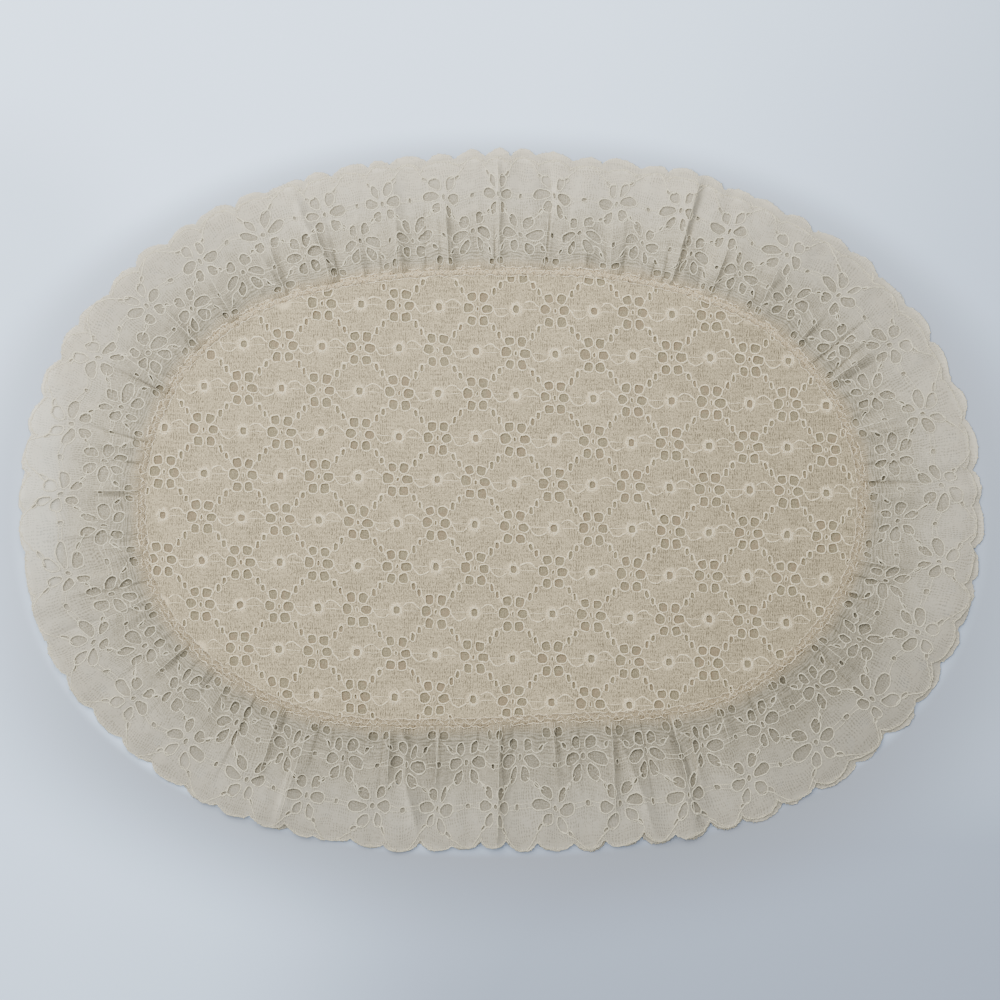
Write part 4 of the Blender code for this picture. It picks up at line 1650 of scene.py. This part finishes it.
# ---- Centre lace -----------------------------------------------------------------------
# x, y from the flower, length, breadth, heading, squareness, taper
CENTRE_EYELETS = (
    (-2.85, 5.6, 4.2, 3.9, 99.0, 3.0, 0.05),
    (2.8, 5.3, 4.4, 4.1, 81.0, 3.0, 0.10),
    (-4.35, 0.3, 4.6, 4.7, 180.0, 2.5, 0.12),
    (4.4, 0.05, 4.8, 4.1, 0.0, 2.4, 0.0),
    (-2.65, -5.5, 4.3, 3.8, -97.0, 3.2, 0.0),
    (2.95, -5.4, 4.5, 4.1, -83.0, 3.0, 0.05),
    (0.0, 0.0, 2.3, 1.0, 90.0, 2.2, 0.0),
    (-7.7, 8.45, 3.1, 1.6, 97.0, 3.0, 0.0),
    (-10.3, 11.5, 3.3, 1.6, 103.0, 3.0, 0.0),
    (7.75, 8.15, 3.6, 1.7, 88.0, 3.0, 0.0),
    (10.6, 11.4, 3.1, 1.6, 84.0, 3.0, 0.0),
    (HALF_LATTICE, 0.2, 3.5, 2.9, 90.0, 3.0, 0.0),
)

# Cords about each flower, as the corners that each one is drawn through
CENTRE_SCROLLS = (
    ((6.9, 1.2), (7.2, 0.0), (8.0, -1.3), (9.1, -2.8), (10.6, -3.5), (12.4, -3.3), (14.9, -1.8)),
    ((21.4, 2.2), (22.6, 3.4), (24.2, 3.9), (25.7, 3.8), (26.8, 2.9), (27.7, 2.1), (29.3, 1.0)),
)
CENTRE_CHAINS = (
    ((5.2, 4.8), (5.6, 6.4), (6.5, 7.0), (7.0, 10.2), (9.2, 10.0), (9.7, 13.4), (12.4, 13.3)),
    ((-5.1, 4.6), (-5.8, 6.0), (-6.4, 7.2), (-7.0, 10.3), (-9.0, 10.2), (-9.5, 13.4), (-12.0, 13.5)),
    ((5.1, -6.8), (5.9, -6.2), (6.6, -7.2)),
    ((-4.8, -6.8), (-5.5, -6.4), (-6.2, -7.2)),
)
CENTRE_BARS = (((7.6, 0.3), (14.6, 0.3)), ((21.8, 0.1), (28.8, 0.1)))
# Each kind's radius, and how closely it is drawn
CENTRE_CORDS = ((CENTRE_SCROLLS, 0.40, 0.9), (CENTRE_CHAINS, 0.35, 1.1), (CENTRE_BARS, 0.22, 2.0))
# Rings of yarn round each blossom: inner and outer reach, teeth, radius
BLOSSOM_RINGS = ((1.9, 3.6, 15, 0.34), (2.1, 2.9, 7, 0.38))
BLOSSOM_AT = 0.2
BLOSSOM_TALL = 1.08
PANEL_INSET = 0.35
EDGE_BAND = 9.0  # the band along the seam where the centre's fill is finer
CENTRE_PITCH = 2.7
BAND_PITCH = 1.8
BACKING_PITCH = 8.0
EYELET_KEEP = 1.1  # mm that the centre's eyelets, fill and cords keep from the seam
FILL_KEEP = 1.2
BACKING_KEEP = 5.0
CORD_KEEP = 0.6
ROUND_EYELET = 3.2  # an eyelet longer than this has all its corners
NEAR_EYELET = 6.0  # only the fill within this of an eyelet is tried against it
EYELET_ROOM = 0.8
HEAVY_RING = 3.7  # an eyelet longer than this has the thicker cord
HEAVY_CORD = 0.37
LIGHT_CORD = 0.33


def flower_places():
    """Where the lattice's flowers stand, some of them past the seam."""
    places = []
    for row in range(-8, 8):
        for column in range(-7, 8):
            step = (column + 0.5 * (row % 2)) * LATTICE_LENGTH
            places.append(np.array(FIRST_FLOWER) + step * ALONG + row * LATTICE_ROW * UP)
    return np.array(places)


PLACES = flower_places()
lattice_rng = np.random.default_rng(73)
PLACE_ROWS = [varied(CENTRE_EYELETS, lattice_rng) for _ in PLACES]
centre_surface = Panel(CENTRE_LEVEL, swell=0.10, pucker=0.28, drift=0.35, seed=51)
backing_surface = Panel(BACKING_LEVEL, swell=0.0, pucker=0.0, drift=0.0, seed=61)


def turned_to_lattice(path, place):
    """Puts what is drawn about a flower where that flower stands."""
    return place + path[:, :1] * ALONG + path[:, 1:] * UP


def panel_border(pitch):
    """The oval that both centre sheets are cut to."""
    count = int(SEAM_MM / pitch)
    px, py, nx, ny = on_join(np.arange(count) * 360.0 / count)
    x = (px - nx * PANEL_INSET * MM - SEAM_CENTRE[0]) / MM
    y = (py - ny * PANEL_INSET * MM - SEAM_CENTRE[1]) / MM
    return np.stack([x, y], axis=1)


def panel_grid(pitch):
    """Places all over the oval's box, and how far each is inside the seam."""
    reach_x, reach_y = SEAM_HALF_LENGTH / MM, SEAM_HALF_WIDTH / MM
    grid = hex_grid(-reach_x, reach_x, -reach_y, reach_y, pitch)
    return grid, from_seam(grid)


def make_centre_sheet():
    """The centre's lace."""
    loops, eyelets = [], []
    for place, rows in zip(PLACES, PLACE_ROWS):
        for row in rows:
            loop = turned_to_lattice(eyelet_loop(row, corners=12 if row[2] > ROUND_EYELET else 8), place)
            if from_seam(loop).min() > EYELET_KEEP:
                loops.append(loop)
                spot = turned_to_lattice(np.array([row[:2]]), place)[0]
                eyelets.append((*spot, *row[2:6], 0.0))
    grid, depth = panel_grid(CENTRE_PITCH)
    edge, edge_depth = panel_grid(BAND_PITCH)
    in_band = (edge_depth > FILL_KEEP) & (edge_depth < EDGE_BAND)
    fill = np.concatenate([grid[depth >= EDGE_BAND], edge[in_band]])
    keep = np.ones(len(fill), bool)
    for row in eyelets:
        near = np.hypot(fill[:, 0] - row[0], fill[:, 1] - row[1]) < NEAR_EYELET
        index = np.nonzero(near & keep)[0]
        keep[index] = clear_of(fill[index], [row], EYELET_ROOM)
    border = panel_border(2.2)
    return cloth_sheet(
        "centre_lace", centre_surface, border, loops, fill[keep], LACE_THICKNESS, CENTRE_GROUND
    )


def make_backing_sheet():
    """The plain knit behind the centre's lace."""
    grid, depth = panel_grid(BACKING_PITCH)
    fill = grid[depth > BACKING_KEEP]
    border = panel_border(3.0)
    return cloth_sheet("backing_knit", backing_surface, border, [], fill, BACKING_THICKNESS, BACKING_GROUND)


def halo(rng, inner, outer, teeth):
    """A spiky ring of yarn round a blossom's eyelet."""
    turn = np.arange(teeth * 2) * math.pi / teeth
    reach = np.where(np.arange(teeth * 2) % 2, outer, inner) + rng.uniform(-0.3, 0.3, teeth * 2)
    y = BLOSSOM_AT + reach * BLOSSOM_TALL * np.sin(turn)
    return np.stack([HALF_LATTICE + reach * np.cos(turn), y], 1)


def make_centre_gimp():
    """The centre's outline cords, blossom rings, scrolls, chains and bars."""
    threads = Threads(centre_surface, lift=0.12)
    rng = np.random.default_rng(77)
    drawn = []
    for lines, radius, pitch in CENTRE_CORDS:
        drawn += [(smooth_path(line, pitch), radius, False) for line in lines]
    for place, rows in zip(PLACES, PLACE_ROWS):
        here = []
        for row in rows:
            ring = smooth_path(eyelet_loop(row, RING_ROOM), 1.0, True)
            here.append((ring, HEAVY_CORD if row[2] > HEAVY_RING else LIGHT_CORD, True))
        for *sizes, radius in BLOSSOM_RINGS:
            here.append((halo(rng, *sizes), radius, True))
        for path, radius, closed in here + drawn:
            path = turned_to_lattice(path, place)
            if from_seam(path).min() > CORD_KEEP:
                threads.add(path, radius, closed)
    threads.mesh("centre_gimp", CENTRE_GIMP, sides=4)


centre_sheet = make_centre_sheet()
backing_sheet = make_backing_sheet()
make_centre_gimp()

# ---- The seam --------------------------------------------------------------------------
BAND_STEP = 0.7
RIDGE_STEPS = 900
RIDGE_ROWS = 7
RIDGE_UNDER = 0.05 * MM
# The zigzags across it: thread, pitch, phase, from and to in mm outwards, radius
ZIGZAGS = (("tan", 4.1, 0.0, -2.7, 0.9, 0.18), ("ivory", 6.3, 0.5, -2.6, 0.8, 0.20))
ZIGZAG_STEPS = 6
# The looped lines along it: thread, mm outwards, loop size, pitch, radius
CHAINS = (
    ("ivory", 1.0, 0.20, 2.6, 0.36),
    ("tan", -2.5, 0.35, 2.4, 0.20),
    ("ivory", -1.0, 0.60, 3.7, 0.22),
    ("ivory", -3.0, 0.20, 4.2, 0.28),
)
CHAIN_STEPS = 8
CHAIN_SLIP = 0.8  # how far a loop leans along the seam, beside its size
CHAIN_SWELL = 0.45
CHAIN_WANDER = 0.30
RIDGE_WANDER = 0.3
COMB_PITCH = 1.5
COMB_REACHES = (2.2, 4.8)
COMB_CORD = 0.2


class SeamBand(Surface):
    """The low hump over the seam: mm along it, and mm outwards from it."""

    mirrored = True
    middle = -1.0
    half = 2.1
    foot = 0.14
    hump = 0.30
    outer_rise = 0.25

    def at(self, flat):
        px, py, nx, ny = on_join(flat[:, 0] * DEGREES_PER_MM)
        r = flat[:, 1]
        across = np.clip((r - self.middle) / self.half, -1.3, 1.3)
        levels = (CENTRE_LEVEL, UPPER_LEVEL, UPPER_LEVEL + self.outer_rise * MM)
        base = np.interp(across, (-1.0, 0.3, 1.0), levels)
        z = base + (self.foot + self.hump * np.maximum(1.0 - across * across, 0.0)) * MM
        return np.stack([px + nx * r * MM, py + ny * r * MM, z], axis=1)


seam_band = SeamBand()


def make_seam_ridge():
    """The pressed-down edges of the sheets under the stitches."""
    along = np.arange(RIDGE_STEPS) * SEAM_MM / RIDGE_STEPS
    wobble = RIDGE_WANDER * ripple(91, 60, 160)(along / SEAM_MM * 360.0)
    across = seam_band.middle + np.linspace(-seam_band.half, seam_band.half, RIDGE_ROWS)
    rows = [seam_band.at(np.stack([along, r + wobble], 1)) for r in across]
    for row, level in ((rows[-1], UPPER_LEVEL), (rows[0], CENTRE_LEVEL)):
        under = row.copy()
        under[:, 2] = level - RIDGE_UNDER
        rows.append(under)
    sides = len(rows)
    points = np.stack(rows, axis=1).reshape(-1, 3)
    start = np.arange(RIDGE_STEPS)
    run = along * MM
    run_on = run + SEAM_LENGTH / RIDGE_STEPS
    quads, uvs = tube(start, (start + 1) % RIDGE_STEPS, sides, run, run_on, BAND_STEP * MM)
    quads, uvs = quads[:, ::-1], uvs[:, ::-1]
    mesh_object(
        "seam_ridge", points, quads.ravel(), np.full(len(quads), 4), uvs.reshape(-1, 2), RIDGE_KNIT
    )


def make_seam_stitches():
    """Overlock: a zigzag across the seam and uneven lines and loops along it."""
    rng = np.random.default_rng(5)
    threads = {"tan": Threads(seam_band, lift=0.08), "ivory": Threads(seam_band, lift=0.12)}
    for kind, pitch, phase, low, high, radius in ZIGZAGS:
        n = int(SEAM_MM / pitch) * ZIGZAG_STEPS
        turn = np.arange(n) / ZIGZAG_STEPS + phase
        along = np.arange(n) / n * SEAM_MM + rng.uniform(-0.5, 0.5, n)
        swing = eased(2.0 * np.abs((turn % 1.0) - 0.5))
        out = low + (high - low) * swing + rng.uniform(-0.35, 0.35, n)
        threads[kind].add(np.stack([along, out], 1), radius, True)
    for index, (kind, at, size, pitch, radius) in enumerate(CHAINS):
        n = int(SEAM_MM / pitch) * CHAIN_STEPS
        turn = np.arange(n) / CHAIN_STEPS * TAU
        degrees = np.arange(n) / n * 360.0
        along = np.arange(n) / n * SEAM_MM + CHAIN_SLIP * size * np.sin(turn)
        along = along + rng.uniform(-0.15, 0.15, n)
        reach = size * (1.0 + CHAIN_SWELL * ripple(101 + index, 80, 240)(degrees))
        out = at + reach * np.cos(turn) + CHAIN_WANDER * ripple(97 + index, 60, 200)(degrees)
        threads[kind].add(np.stack([along, out], 1), radius, True)
    threads["tan"].mesh("tan_seam_stitches", TAN_THREAD, sides=3)
    threads["ivory"].mesh("ivory_seam_stitches", IVORY_THREAD, sides=3)


def make_comb_gathers():
    """The frill's finest gathers, one beside another where it enters the seam."""
    rng = np.random.default_rng(9)
    threads = Threads(upper, lift=0.14)
    count = int(TOTAL / COMB_PITCH)
    for i in range(count):
        x = (i + rng.uniform(-0.3, 0.3)) * TOTAL / count
        reach = rng.uniform(*COMB_REACHES)
        lean = rng.uniform(-0.4, 0.4)
        path = np.array([(x, 0.5), (x + 0.4 * lean, reach * 0.55), (x + lean, reach)])
        threads.add(path, COMB_CORD)
    threads.mesh("comb_gathers", COMB_THREAD, sides=3)


make_seam_ridge()
make_seam_stitches()
make_comb_gathers()

# ---- Riding: every piece is attached to the root body ----------------------------------
SLOTS = {
    "upper_frill_lace": "upper_frill_lace",
    "upper_frill_gimp": "upper_frill_lace",
    "comb_gathers": "upper_frill_lace",
    "lower_frill_lace": "lower_frill_lace",
    "lower_frill_gimp": "lower_frill_lace",
    "centre_lace": "centre_lace",
    "centre_gimp": "centre_lace",
    "seam_ridge": "centre_lace",
    "tan_seam_stitches": "centre_lace",
    "ivory_seam_stitches": "centre_lace",
    "backing_knit": "backing_knit",
}
for piece_name, slot_name in SLOTS.items():
    piece = bpy.data.objects[piece_name]
    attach(piece, "root")

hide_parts("upper_frill")
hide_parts("lower_frill")
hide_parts("centre_panel")
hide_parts("backing_panel")


# ---- Floor, light and camera -----------------------------------------------------------
FLOOR_HALF = 3.0
FLOOR_BELOW = 0.0002
VIEW_WIDTH = 0.4662
VIEW_DISTANCE = 1.0
VIEW_TILT = math.radians(2.0)
AIM = (-0.0004, -0.0008, 0.0)
SENSOR = 36.0
KEY_PLACE = (-0.35, 0.60, 0.80)
KEY_AIM = (-0.10, 0.70, 0.0)
KEY_SIZE = 1.5
KEY_POWER = 31.8
KEY_COLOUR = (0.833, 0.912, 1.0)
ROOM_COLOUR = (0.72, 0.836, 1.0, 1.0)
ROOM_STRENGTH = 0.62

floor_mesh = bpy.data.meshes.new("floor")
floor_corners = [(x * FLOOR_HALF, y * FLOOR_HALF, 0) for x, y in ((-1, -1), (1, -1), (1, 1), (-1, 1))]
floor_mesh.from_pydata(floor_corners, [], [(0, 1, 2, 3)])
floor_mesh.materials.append(floor_material())
floor = link_object("floor", floor_mesh)
floor.location.z = -FLOOR_BELOW

lamp = bpy.data.lights.new("key_light", "AREA")
lamp.shape = "DISK"
lamp.size = KEY_SIZE
lamp.energy = KEY_POWER
lamp.color = KEY_COLOUR
key_light = link_object("key_light", lamp)
key_light.location = KEY_PLACE
key_light.rotation_euler = (Vector(KEY_AIM) - Vector(KEY_PLACE)).to_track_quat("-Z", "Y").to_euler()

world = bpy.data.worlds.new("room")
world.use_nodes = True
world.node_tree.nodes["Background"].inputs["Color"].default_value = ROOM_COLOUR
world.node_tree.nodes["Background"].inputs["Strength"].default_value = ROOM_STRENGTH
bpy.context.scene.world = world

camera_data = bpy.data.cameras.new("view")
camera_data.sensor_width = SENSOR
camera_data.lens = SENSOR * VIEW_DISTANCE / VIEW_WIDTH
camera = link_object("view", camera_data)
camera_back = VIEW_DISTANCE * math.sin(VIEW_TILT)
camera.location = (AIM[0], AIM[1] - camera_back, VIEW_DISTANCE * math.cos(VIEW_TILT))
camera.rotation_euler = (VIEW_TILT, 0.0, 0.0)
bpy.context.scene.camera = camera
